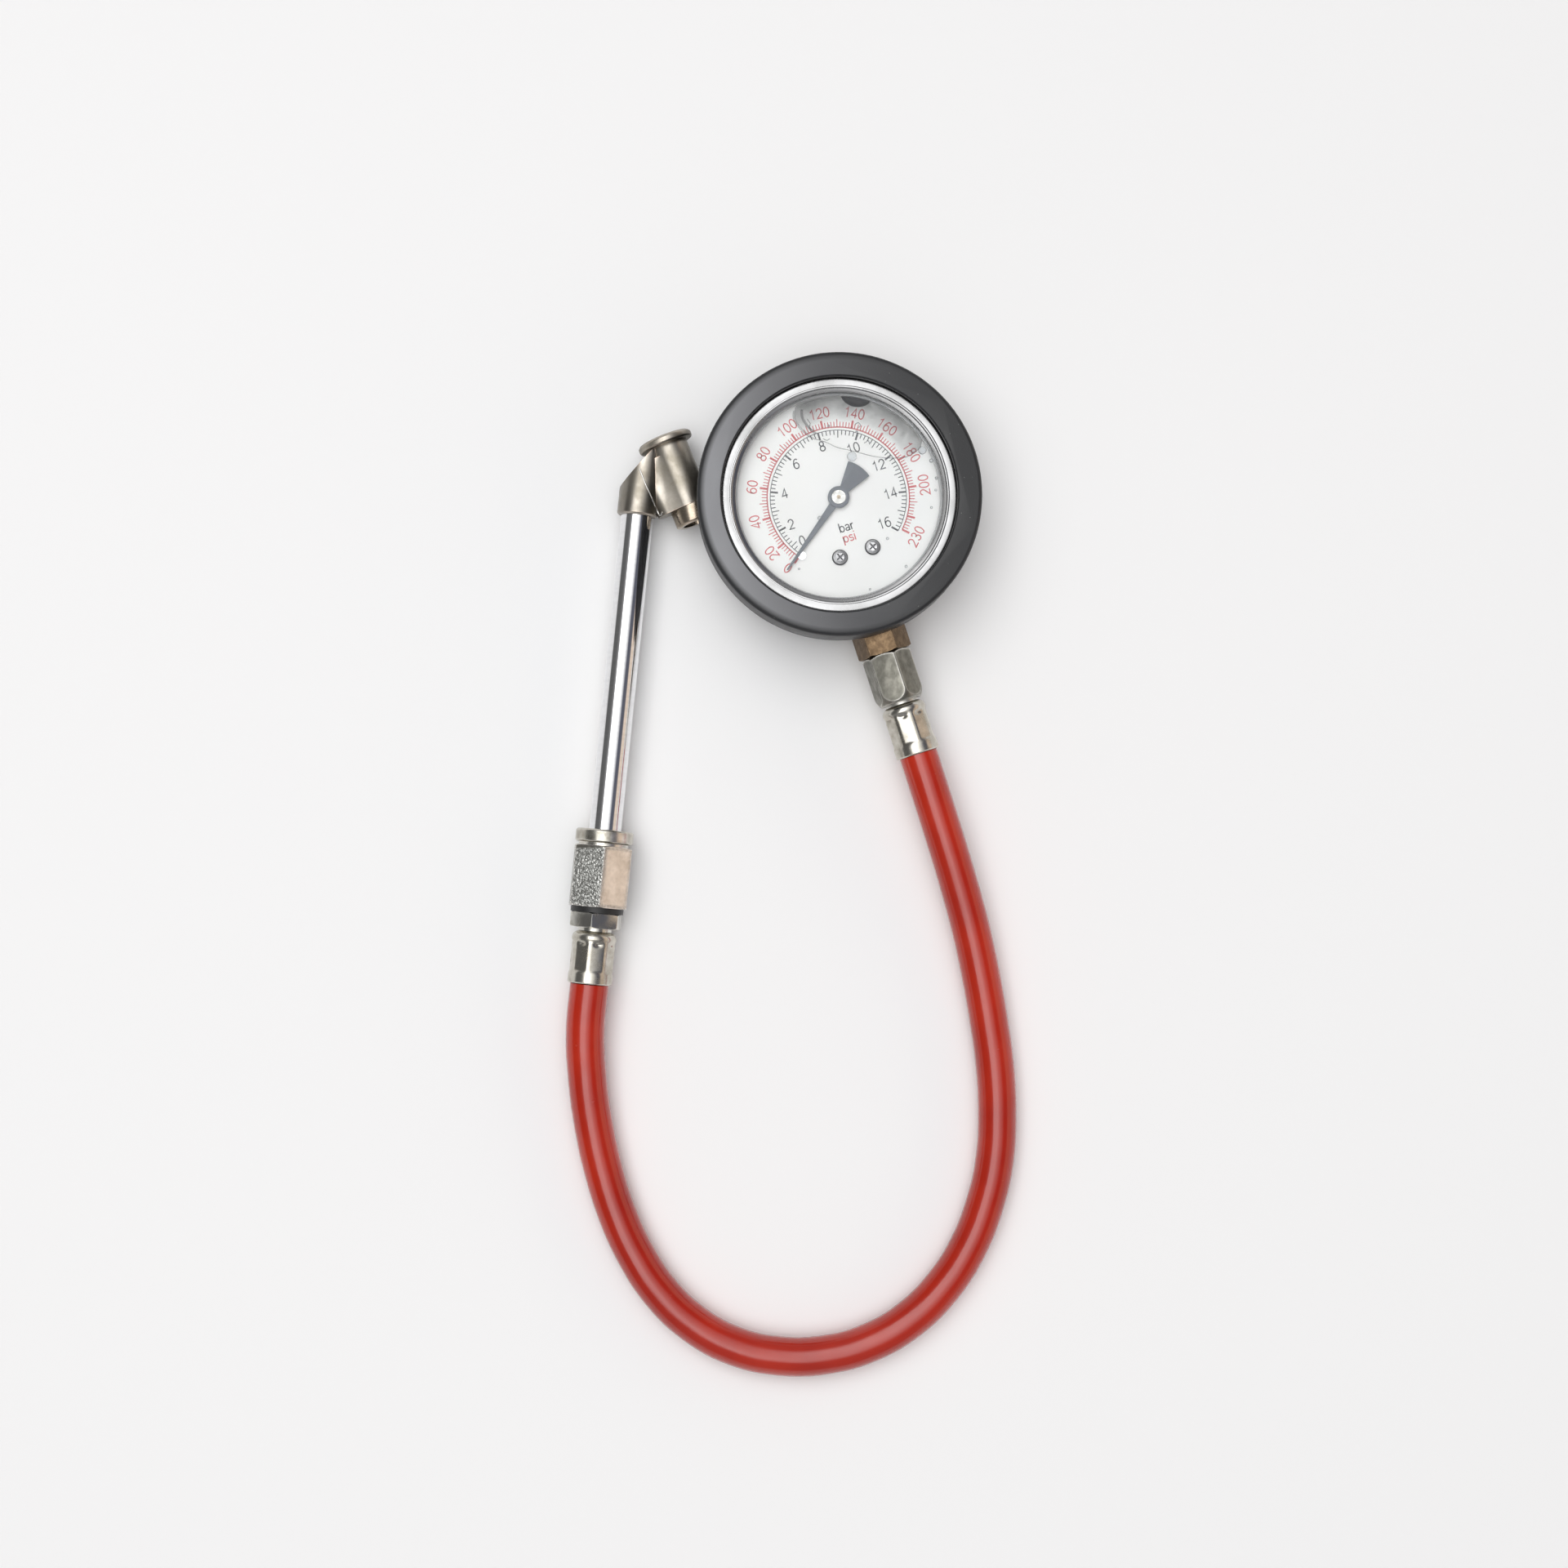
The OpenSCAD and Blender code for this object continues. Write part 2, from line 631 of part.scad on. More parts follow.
module dial_plate()
    color([0.97, 0.97, 0.96])
    in_gauge() difference() {
        translate([0, 0, dial_z]) cylinder(r = dial_r, h = dial_t);
        translate([0, 0, dial_z - over]) cylinder(r = 2 * arbor_r, h = dial_t + 2 * over);
        at_dial_screws()
            translate([0, 0, dial_z - over]) cylinder(r = dial_screw_r + dial_gap, h = dial_t + 2 * over);
        rotate(plug_turn)
            translate([inner_r - plug_flange_t - plug_room, -plug_flange_r - dial_gap, dial_z - over])
                cube([2 * plug_flange_t, 2 * (plug_flange_r + dial_gap), dial_t + 2 * over]);
    }

// Two cross-recessed screws that hold the dial to the socket block
module dial_screws()
    color([0.75, 0.75, 0.76])
    in_gauge() at_dial_screws() translate([0, 0, dial_top]) difference() {
        union() {
            rotate_extrude() polygon(dial_screw_head);
            translate([0, 0, -dial_screw_len]) cylinder(r = dial_screw_r, h = dial_screw_len);
        }
        for (turn = [0, 90])
            rotate(dial_slot_turn + turn) translate([-dial_slot_len / 2, -dial_slot_w / 2, dial_slot_z])
                cube([dial_slot_len, dial_slot_w, over]);
    }

// Half width of the pointer at a distance from its axis
function pointer_half(at) =
    pointer_w + (pointer_tip_w - pointer_w) * (at - hub_from) / (pointer_len - hub_from);

module stop_pin() {
    off = asin((pointer_half(stop_at) + stop_r + stop_gap) / stop_at);
    color([0.8, 0.8, 0.8])
    in_gauge() rotate(pointer_dir + off) translate([stop_at, 0, dial_top]) {
        cylinder(r = stop_collar_r, h = stop_collar_t);
        cylinder(r = stop_r, h = pointer_z - dial_top + pointer_t + stop_above);
    }
}

// Blanked pointer with a fan-shaped tail and a raised ring round its hub
module pointer()
    color([0.05, 0.05, 0.05])
    in_gauge() rotate(pointer_dir) difference() {
        union() {
            translate([0, 0, pointer_z]) linear_extrude(pointer_t) {
                polygon([[hub_from, -pointer_w], [pointer_len, -pointer_tip_w],
                    [pointer_len, pointer_tip_w], [hub_from, pointer_w], [0, pointer_w], [0, -pointer_w]]);
                polygon(concat([[0, tail_neck_w], [-hub_from, tail_neck_w]],
                    let (end = asin(tail_w / 2 / pointer_tail))
                        arc([0, 0], pointer_tail, 180 - end, 180 + end),
                    [[-hub_from, -tail_neck_w], [0, -tail_neck_w]]));
            }
            translate([0, 0, pointer_z - hub_ring_rise])
                cylinder(r = hub_ring_r, h = pointer_t + 2 * hub_ring_rise);
        }
        translate([0, 0, pointer_z - over]) cylinder(r = hub_r + sit_gap, h = pointer_t + 2 * over);
    }

module pointer_hub()
    color([0.85, 0.85, 0.83])
    in_gauge() translate([0, 0, pointer_z - hub_below])
        ring(hub_r, arbor_tip_r + sit_gap, hub_below + pointer_t + hub_above);

// ---- movement -----------------------------------------------------------------------------

// Arbor with the pinion, the hairspring's collet and the seat for the pointer
module pinion_arbor()
    color([0.85, 0.7, 0.35])
    in_gauge() {
        shoulder = plate_z + plate_t + end_play;
        step = pointer_z - arbor_step;
        translate([0, 0, plate_z - journal_out])
            cylinder(r = journal_r, h = journal_out + shoulder - plate_z + over);
        translate([0, 0, shoulder]) cylinder(r = arbor_r, h = step - shoulder);
        translate([0, 0, step - over])
            cylinder(r = arbor_tip_r, h = over + arbor_step + pointer_t + arbor_above);
        translate([0, 0, sector_z - pinion_side]) linear_extrude(sector_t + 2 * pinion_side) {
            circle(r = pinion_r - (sector_add + root_play) * gear_module);
            for (i = [0:pinion_teeth - 1])
                rotate(sector_dir + (i + 0.5) * 360 / pinion_teeth)
                    polygon(tooth(pinion_r, pinion_teeth,
                        pinion_r - (sector_add + 2 * root_play) * gear_module,
                        pinion_r + pinion_add * gear_module));
        }
        translate([0, 0, hairspring_z - collet_side])
            cylinder(r = collet_r, h = hairspring_w + 2 * collet_side);
    }

// Sector with its arbor, a toothed arc and a tail that carries the link pin
module sector_gear() {
    root = sector_r - (pinion_add + root_play) * gear_module;
    step = 360 / sector_teeth;
    first = mesh_dir - (teeth_behind + 0.6) * step;
    last = mesh_dir + (teeth_ahead + 0.6) * step;
    color([0.82, 0.68, 0.36])
    in_gauge() {
        translate([sector_at[0], sector_at[1], 0]) {
            translate([0, 0, plate_z + end_play])
                cylinder(r = journal_r, h = 2 * plate_t + plate_gap - 2 * end_play);
            translate([0, 0, plate_z + plate_t + end_play])
                cylinder(r = arbor_r, h = plate_gap - 2 * end_play);
            translate([0, 0, sector_z - sector_hub_side])
                cylinder(r = sector_hub_r, h = sector_t + 2 * sector_hub_side);
            translate([0, 0, sector_z]) linear_extrude(sector_t) {
                difference() {
                    polygon(concat([[0, 0]], [for (i = [0:sector_steps])
                        let (a = first + (last - first) * i / sector_steps) root * [cos(a), sin(a)]]));
                    polygon([for (p = [[0, first + sector_rib[0]], [1, first + sector_rib[1]],
                            [1, last - sector_rib[1]], [0, last - sector_rib[0]]])
                        sector_window[p[0]] * sector_r * [cos(p[1]), sin(p[1])]]);
                }
                for (i = [-teeth_behind:teeth_ahead])
                    rotate(mesh_dir + i * step)
                        polygon(tooth(sector_r, sector_teeth, root - 0.1, sector_r + sector_add * gear_module));
            }
        }
        translate([0, 0, sector_z]) linear_extrude(sector_t) strap(sector_at, tail_at, strap_r);
        translate([tail_at[0], tail_at[1], sector_z])
            cylinder(r = link_pin_r, h = link_top);
    }
}

// Link between the Bourdon tube's tip and the sector's tail, with play at the tail
module tip_link()
    color([0.8, 0.8, 0.8])
    in_gauge() translate([0, 0, sector_z + sector_t + link_gap]) linear_extrude(link_t) difference() {
        strap(tail_at, tip_at, strap_r);
        translate(tail_at) circle(r = link_pin_r + link_play);
        translate(tip_at) circle(r = link_pin_r + sit_gap);
    }

// Cross-section of the flattened tube, at its radius
module bourdon_section(grow)
    translate([bourdon_r, stem_z]) {
        half = (bourdon_w - bourdon_t) / 2;
        for (side = [-1, 1])
            translate([0, side * half]) circle(r = bourdon_t / 2 + grow);
        translate([-bourdon_t / 2 - grow, -half]) square([bourdon_t + 2 * grow, 2 * half]);
    }

module bourdon_tube()
    color([0.8, 0.6, 0.3])
    in_gauge() rotate(bourdon_end) rotate_extrude(angle = 360 + bourdon_start - bourdon_end)
        difference() {
            bourdon_section(0);
            bourdon_section(-bourdon_wall);
        }

// Cap on the free end of the Bourdon tube, with a lug for the link
module tube_tip()
    color([0.8, 0.65, 0.35])
    in_gauge() {
        rotate(bourdon_end - tip_span) rotate_extrude(angle = tip_span) bourdon_section(tip_wall);
        translate([0, 0, sector_z]) linear_extrude(lug_t)
            strap(tip_at, (bourdon_r - tip_wall) * [cos(tip_dir), sin(tip_dir)], strap_r);
        translate([tip_at[0], tip_at[1], sector_z])
            cylinder(r = link_pin_r, h = link_top);
    }

// Point on the hairspring's spiral, a share of the way out and to one side of its middle
function spiral(share, side) =
    let (from = collet_r + spring_start + hairspring_t / 2,
        r = from + (hairspring_r - from) * share + side * hairspring_t / 2,
        a = 360 * hairspring_turns * share)
    r * [cos(a), sin(a)];

module hairspring() {
    steps = 20 * hairspring_turns;
    color([0.7, 0.7, 0.75])
    in_gauge() translate([0, 0, hairspring_z]) linear_extrude(hairspring_w)
        polygon(concat([for (i = [0:steps]) spiral(i / steps, 1)],
            [for (i = [steps:-1:0]) spiral(i / steps, -1)]));
}

// Outline that both movement plates share
module plate_outline() {
    left = pillar_at[0][0] - plate_edge;
    right = sector_at[0] + plate_edge;
    low = pillar_at[0][1] - plate_edge;
    high = pillar_at[1][1] + plate_edge;
    under = sector_at[1] - plate_edge;
    difference() {
        polygon([
            [left, low + plate_cut], [left + plate_cut, low], [block_screw_at[0][0], block_top + plate_cut],
            [right - plate_cut, under], [right, under + plate_cut],
            [right, high - plate_cut], [right - plate_cut, high],
            [pillar_at[2][0] - plate_edge + plate_cut, high], [left, high - plate_cut]]);
        circle(r = arbor_r + pivot_gap);
    }
}

module at_pillars()
    for (p = pillar_at) translate([p[0], p[1], 0]) children();

module movement_back_plate()
    color([0.83, 0.7, 0.4])
    in_gauge() translate([0, 0, plate_z]) difference() {
        union() {
            linear_extrude(plate_t) plate_outline();
            ring(arbor_r + 2 * pivot_gap, journal_r + pivot_gap, plate_t);
        }
        translate([0, 0, -over]) {
            translate([sector_at[0], sector_at[1], 0])
                cylinder(r = journal_r + pivot_gap, h = plate_t + 2 * over);
            at_pillars() cylinder(r = screw_r + sit_gap, h = plate_t + 2 * over);
            for (p = block_screw_at)
                translate([p[0], p[1], 0]) cylinder(r = block_screw_r + sit_gap, h = plate_t + 2 * over);
        }
    }

module movement_front_plate()
    color([0.83, 0.7, 0.4])
    in_gauge() {
        translate([0, 0, front_plate_z]) difference() {
            linear_extrude(plate_t) plate_outline();
            translate([0, 0, -over]) {
                translate([sector_at[0], sector_at[1], 0])
                    cylinder(r = journal_r + pivot_gap, h = plate_t + 2 * over);
                at_pillars() cylinder(r = screw_r + sit_gap, h = plate_t + 2 * over);
            }
        }
        // stud that holds the outer end of the hairspring
        translate([hairspring_r + hairspring_t / 2 + stud_r, 0, hairspring_z - stud_below])
            cylinder(r = stud_r, h = front_plate_z - hairspring_z + stud_below + plate_t / 2);
    }

// Three pillars, riveted through the back plate
module movement_pillars()
    color([0.82, 0.69, 0.38])
    in_gauge() at_pillars() difference() {
        union() {
            translate([0, 0, plate_z + plate_t]) cylinder(r = pillar_r, h = plate_gap);
            translate([0, 0, plate_z]) cylinder(r = screw_r, h = plate_t + over);
        }
        translate([0, 0, front_plate_z - screw_hole_len]) cylinder(r = screw_r, h = screw_hole_len + over);
    }

// Three screws in the pillars and two that hold the movement to the block
module movement_screws()
    color([0.78, 0.78, 0.78])
    in_gauge() {
        at_pillars() translate([0, 0, front_plate_z + plate_t]) {
            cylinder(r = screw_head_r, h = screw_head_t);
            translate([0, 0, -plate_t - screw_len])
                cylinder(r = screw_r, h = plate_t + screw_len + screw_head_t / 2);
        }
        for (p = block_screw_at)
            translate([p[0], p[1], plate_z + plate_t]) {
                cylinder(r = block_head_r, h = block_head_t);
                translate([0, 0, -plate_t - block_screw_len])
                    cylinder(r = block_screw_r, h = plate_t + block_screw_len + block_head_t / 2);
            }
    }

// ---- stem ---------------------------------------------------------------------------------

// Socket block, tongue, stem, hexagon and thread in one forging
module stem_socket()
    color([0.72, 0.53, 0.28])
    difference() {
        union() {
            in_gauge() {
                translate([-block_w / 2, block_end, block_z])
                    cube([block_w, block_top - block_end, block_t]);
                translate([-tongue_w / 2, block_top - over, block_z])
                    cube([tongue_w, tongue_end - block_top + over, tongue_t]);
                at_dial_screws() translate([0, 0, block_z + block_t - over])
                    cylinder(r = boss_r, h = dial_z - block_z - block_t + over);
            }
            down_stem(-block_end - over) cylinder(r = neck_r, h = neck_end + block_end + 2 * over);
            down_stem(neck_end) hex_bar(stem_af, stem_reach - neck_end, hex_bevel, stem_hex_turn);
            down_stem(stem_reach - over) cylinder(r = thread_r, h = stem_thread + over);
        }
        // pressure passage and its branch to the Bourdon tube
        down_stem(passage_at) cylinder(r = stem_bore_r, h = thread_end - passage_at);
        down_stem(thread_end - restrictor_len - sit_gap)
            cylinder(r = restrictor_r, h = restrictor_len + over);
        in_gauge() translate([0, bourdon_r * sin(bourdon_start), stem_z]) rotate([0, -90, 0])
            cylinder(r = stem_bore_r / 2, h = -bourdon_r * cos(bourdon_start));
        in_gauge() {
            rotate(bourdon_start - bourdon_hold) rotate_extrude(angle = bourdon_hold) bourdon_section(sit_gap);
            at_dial_screws() translate([0, 0, dial_top - dial_hole_len])
                cylinder(r = dial_screw_r + sit_gap, h = dial_hole_len + over);
            for (p = block_screw_at)
                translate([p[0], p[1], plate_z - block_hole_len])
                    cylinder(r = block_screw_r + sit_gap, h = block_hole_len + over);
            translate([0, 0, plate_z - over]) cylinder(r = arbor_r, h = 2 * over);
        }
    }

// Rubber ring that seals the stem in the case's wall
module stem_seal()
    color([0.1, 0.1, 0.1])
    down_stem(inner_r - seal_inside)
        ring(neck_r + stem_seal_w, neck_r + sit_gap, neck_end - inner_r + seal_inside);

// Throttle screw in the end of the stem
module restrictor()
    color([0.8, 0.62, 0.34])
    down_stem(thread_end - restrictor_len) difference() {
        cylinder(r = restrictor_r - sit_gap, h = restrictor_len);
        translate([0, 0, -over]) cylinder(r = orifice_r, h = restrictor_len + 2 * over);
        translate([-restrictor_r, -restrictor_slot_w / 2, restrictor_len - restrictor_slot_t])
            cube([2 * restrictor_r, restrictor_slot_w, 2 * restrictor_slot_t]);
    }

// ---- hose and its fittings ----------------------------------------------------------------

module nut_washer()
    color([0.15, 0.15, 0.15])
    down_stem(thread_end) ring(thread_r - sit_gap, tail_bore_r, nut_washer_t);

// Union nut: chamfered at the stem, turned down to a round shoulder at the hose
module swivel_nut() {
    len = nut_end - nut_start;
    corner = nut_af / 2 / cos(30);
    crest = corner - nut_trim;
    end_r = nut_af / 2 - nut_end_cut;
    turned = acos((end_r - crest + nut_round) / nut_round);
    color([0.74, 0.72, 0.67])
    down_stem(nut_start) difference() {
        intersection() {
            rotate(nut_hex_turn) cylinder(r = corner, h = len, $fn = 6);
            rotate_extrude() polygon(concat(
                [[0, 0], [crest - nut_chamfer, 0], [crest, nut_chamfer_h]],
                arc([crest - nut_round, len - nut_round * sin(turned)], nut_round, 0, turned),
                [[0, len]]));
        }
        translate([0, 0, -over]) cylinder(r = thread_r + sit_gap, h = tail_flange_end - nut_start + over);
        cylinder(r = tail_r + sit_gap, h = len + over);
    }
}

// Barbed spigot inside the hose, from the closed end of the ferrule
module barb() {
    neck = ferrule_end_t;
    cylinder(r = tail_r, h = neck);
    root = barb_r - barb_depth;
    cylinder(r = root, h = ferrule_len - barb_short);
    for (at = [neck:barb_step:ferrule_len - barb_short - barb_step])
        translate([0, 0, at]) rotate_extrude() polygon([
            [0, 0], [barb_r, barb_edge[0]], [barb_r, barb_edge[1]], [root, barb_step], [0, barb_step]]);
}

module gauge_hose_tail()
    color([0.76, 0.74, 0.68])
    difference() {
        union() {
            down_stem(nut_washer_end) cylinder(r = thread_r - sit_gap, h = tail_flange_t);
            down_stem(nut_washer_end) cylinder(r = tail_r, h = nut_shoulder + tail_flange_t + tail_collar_t);
            down_stem(nut_end) cylinder(r = tail_collar_r, h = tail_collar_t);
            down_stem(stem_ferrule) barb();
        }
        down_stem(nut_washer_end - over)
            cylinder(r = tail_bore_r, h = stem_ferrule + ferrule_len - nut_washer_end + over);
    }

// Pressed sleeve with a domed end and a row of crimped flats
module ferrule()
    difference() {
        rotate_extrude() polygon(concat(
            [[tail_r + sit_gap, 0], [ferrule_r - ferrule_round, 0]],
            arc([ferrule_r - ferrule_round, ferrule_round], ferrule_round, -90, 0),
            [[ferrule_r, ferrule_len - ferrule_bevel], [ferrule_r - ferrule_bevel, ferrule_len],
                [hose_r + sit_gap, ferrule_len], [hose_r + sit_gap, ferrule_end_t],
                [tail_r + sit_gap, ferrule_end_t]]));
        for (i = [0:crimps - 1])
            rotate((i + 0.5) * 360 / crimps)
                translate([crimp_flat, -crimp_w / 2 - over, crimp_at])
                    cube([ferrule_r, crimp_w + 2 * over, crimp_len]);
    }

module gauge_ferrule() color([0.78, 0.76, 0.71]) down_stem(stem_ferrule) ferrule();

module chuck_ferrule() color([0.78, 0.76, 0.71]) down_tube(chuck_ferrule_at) ferrule();

module chuck_hose_tail()
    color([0.72, 0.7, 0.65])
    difference() {
        union() {
            down_tube(fitting_at + fitting_thread) cylinder(r = thread_r, h = fitting_thread + over);
            down_tube(fitting_at) hex_bar(fitting_af, fitting_hex, hex_bevel, corner_up + fitting_hex_turn);
            down_tube(fitting_end + over)
                cylinder(r = tail_collar_r, h = over + fitting_end - chuck_ferrule_at);
            down_tube(fitting_end) cylinder(r = tail_r, h = fitting_end - chuck_ferrule_at + over);
            down_tube(chuck_ferrule_at) barb();
        }
        down_tube(fitting_at + fitting_thread + over)
            cylinder(r = tail_bore_r, h = fitting_at + fitting_thread - chuck_ferrule_at + ferrule_len + over);
    }

module inlet_washer()
    color([0.07, 0.07, 0.07])
    down_tube(inlet_end) ring(inlet_af / 2 - washer_inset, thread_r + sit_gap, inlet_washer_t);

// Points that the middle of the hose runs through, from inside one ferrule to inside the other
function on_stem(at) = [at * sin(gauge_turn), -at * cos(gauge_turn), stem_z];
function on_tube(at) = [chuck_x + at * sin(chuck_lean), chuck_y + at * cos(chuck_lean), chuck_z];
hose_path = concat(
    [on_stem(stem_ferrule + ferrule_end_t), on_stem(stem_ferrule + ferrule_len)], hose_route,
    [on_tube(chuck_ferrule_at - ferrule_len), on_tube(chuck_ferrule_at - ferrule_end_t)]);

// One unbroken tube along a path: rings of points outside and, where it has a bore, inside
function unit(v) = v / norm(v);
function heading(p, i) = unit(p[min(i + 1, len(p) - 1)] - p[max(i - 1, 0)]);
function ring_at(p, i, r, sides) =
    let (t = heading(p, i), side = unit(cross(t, [0, 0, 1])), up = cross(side, t))
    [for (k = [0:sides - 1]) let (a = 360 * k / sides) p[i] + r * (cos(a) * side + sin(a) * up)];
function skin(first, rings, sides, inward) =
    [for (i = [0:rings - 2], k = [0:sides - 1])
        let (a = first + i * sides + k, b = first + i * sides + (k + 1) % sides, c = b + sides, d = a + sides)
        each inward ? [[a, c, b], [a, d, c]] : [[a, b, c], [a, c, d]]];
function rim(outer, inner, sides, last) =
    [for (k = [0:sides - 1])
        let (a = outer + k, b = outer + (k + 1) % sides, c = inner + (k + 1) % sides, d = inner + k)
        each last ? [[a, b, c], [a, c, d]] : [[a, c, b], [a, d, c]]];
function cap(first, sides, last) =
    [for (k = [1:sides - 2])
        last ? [first, first + k, first + k + 1] : [first, first + k + 1, first + k]];

module pipe(path, r, bore, sides) {
    n = len(path);
    inside = n * sides;
    polyhedron(
        points = concat(
            [for (i = [0:n - 1]) each ring_at(path, i, r, sides)],
            [for (i = [0:n - 1]) each ring_at(path, i, bore, sides)]),
        faces = concat(
            skin(0, n, sides, false), skin(inside, n, sides, true),
            rim(0, inside, sides, false),
            rim(inside - sides, inside + (n - 1) * sides, sides, true)));
}

module wire(path, r, sides)
    polyhedron(
        points = [for (i = [0:len(path) - 1]) each ring_at(path, i, r, sides)],
        faces = concat(skin(0, len(path), sides, false), cap(0, sides, false),
            cap((len(path) - 1) * sides, sides, true)));

module hose() color([0.7, 0.16, 0.1]) pipe(hose_path, hose_r, hose_bore_r, hose_sides);

// ---- chuck --------------------------------------------------------------------------------

// Hexagonal body with a round collar; the hose screws in below, the tube is brazed in above
module inlet_body()
    color([0.74, 0.72, 0.67])
    difference() {
        union() {
            up_tube(inlet_end) hex_bar(inlet_af, inlet_len, hex_bevel, corner_up + inlet_hex_turn);
            up_tube(inlet_at - over) cylinder(r = collar_r - groove_depth, h = groove_len + 2 * over);
            up_tube(collar_at) rotate_extrude() polygon([
                [0, 0], [collar_r - collar_edge, 0], [collar_r, collar_edge],
                [collar_r, collar_len - collar_edge], [collar_r - collar_edge, collar_len],
                [0, collar_len]]);
        }
        up_tube(inlet_end - over) cylinder(r = thread_r + sit_gap, h = fitting_thread + over);
        up_tube(inlet_end) cylinder(r = tube_r - tube_wall, h = -tube_show - inlet_end);
        up_tube(-tube_show - socket_depth) cylinder(r = tube_r + sit_gap, h = socket_depth + over);
    }

module chuck_tube()
    color([0.88, 0.88, 0.88])
    up_tube(-tube_show - socket_depth)
        ring(tube_r, tube_r - tube_wall, tube_show + socket_depth + head_socket);

// Web between the feet's barrel and the collar, seen along the barrel
module web_outline() {
    lean = asin((barrel_r - web_r) / web_reach);
    side = [-sin(lean), cos(lean)];
    under = [-sin(lean), -cos(lean)];
    translate([-web_reach, 0]) circle(r = web_r);
    polygon([
        (barrel_r - sit_gap) * side, [-web_reach, 0] + (web_r - sit_gap) * side,
        [-web_reach, 0] + (web_r - sit_gap) * under, (barrel_r - sit_gap) * under]);
}

// Die-cast head: a collar on the tube, a barrel for the two feet and the web between them
module chuck_head() {
    rise = slope_b - slope_a;
    color([0.7, 0.66, 0.58])
    difference() {
        union() {
            difference() {
                up_tube(0) rotate_extrude() polygon([
                    [0, 0], [head_collar_r - collar_edge, 0], [head_collar_r, collar_edge],
                    [head_collar_r, head_top], [0, head_top]]);
                in_chuck() translate([slope_a[0], slope_a[1], 0]) rotate(atan2(rise[1], rise[0]))
                    translate([-head_top, 0, -head_top]) cube([3 * head_top, head_top, 2 * head_top]);
                // nothing of the collar reaches past the casting's front face
                along_feet(cast_start - head_top) cylinder(r = 2 * flange_r, h = head_top + sit_gap);
            }
            along_feet(web_start) linear_extrude(cast_end - web_start) web_outline();
            along_feet(cast_start) cylinder(r = barrel_r, h = cast_end - cast_start);
        }
        along_feet(cast_start - over) cylinder(r = chamber_r, h = cast_end - cast_start + 2 * over);
        along_feet(cast_start - over) cylinder(r = sleeve_r + sit_gap, h = chamber_at - cast_start + over);
        along_feet(chamber_end) cylinder(r = sleeve_r + sit_gap, h = cast_end - chamber_end + over);
        up_tube(-over) cylinder(r = tube_r + sit_gap, h = head_socket + over);
        up_tube(head_socket - over) cylinder(r = tube_r - tube_wall, h = duct_v + duct_r - head_socket + over);
        along_feet(duct_t) rotate([0, -90, 0]) cylinder(r = duct_r, h = duct_len);
    }
}

// Screwed-in mouth with a broad flange, for valves that face away from the hand
module front_foot()
    color([0.78, 0.75, 0.68])
    along_feet(-flange_t / 2) difference() {
        union() {
            rotate_extrude() polygon([
                [0, 0], [flange_r - flange_bevel, 0], [flange_r, flange_bevel],
                [flange_r, flange_t - flange_edge], [flange_r - flange_edge, flange_t], [0, flange_t]]);
            cylinder(r = sleeve_r, h = flange_t + front_sleeve);
        }
        translate([0, 0, -over]) cylinder(r = mouth_r, h = flange_t + front_sleeve + 2 * over);
    }

// Screwed-in mouth for valves that face the hand
module rear_foot()
    color([0.72, 0.6, 0.42])
    along_feet(rear_foot_at) difference() {
        union() {
            cylinder(r = sleeve_r, h = rear_sleeve + over);
            translate([0, 0, rear_sleeve]) rotate_extrude() polygon([
                [0, 0], [rear_foot_r, 0], [rear_foot_r, rear_foot_len - foot_edge],
                [rear_foot_r - foot_edge, rear_foot_len], [0, rear_foot_len]]);
        }
        translate([0, 0, -over]) cylinder(r = mouth_r, h = rear_sleeve + rear_foot_len + 2 * over);
    }

// Flat rubber ring that a valve is pressed against
module seal()
    color([0.12, 0.12, 0.12]) ring(sleeve_r, seal_hole_r, seal_t);

module front_seal() along_feet(front_seal_at) seal();

module rear_seal() along_feet(chamber_end) seal();

// Plunger whose nose pushes the valve's pin; +Z points into the chamber
module plunger()
    difference() {
        union() {
            translate([0, 0, -plunger_nose]) cylinder(r = plunger_nose_r, h = plunger_nose + over);
            cylinder(r = chamber_r - plunger_gap, h = plunger_head_t);
            cylinder(r = plunger_tail_r, h = plunger_head_t + plunger_tail);
        }
        for (i = [0:plunger_slots - 1])
            rotate(360 / plunger_slots * i)
                translate([chamber_r - plunger_slot_t, -plunger_slot_w / 2, -over])
                    cube([chamber_r, plunger_slot_w, plunger_head_t + 2 * over]);
    }

module front_plunger() color([0.8, 0.66, 0.36]) along_feet(chamber_at) plunger();

module rear_plunger() color([0.8, 0.66, 0.36]) along_feet(chamber_end) rotate([180, 0, 0]) plunger();

// Middle of the spring's wire, a turn at a time from the front plunger to the rear one
spring_run = chamber_len - 2 * plunger_head_t - 2 * wire_r;
spring_steps = spring_turns * coil_rings;
spring_path = [for (i = [0:spring_steps]) let (a = 360 * i / coil_rings)
    [coil_r * cos(a), coil_r * sin(a), spring_run * i / spring_steps]];
spring_gap = min([for (i = [0:spring_steps - coil_rings], j = [i + coil_rings / 2:spring_steps])
    norm(spring_path[j] - spring_path[i])]) - 2 * wire_r;
echo(least_gap_of_plunger_spring = spring_gap);

// Coil spring between the two plungers
module plunger_spring()
    color([0.75, 0.75, 0.78])
    along_feet(chamber_at + plunger_head_t + wire_r) wire(spring_path, wire_r, coil_sides);

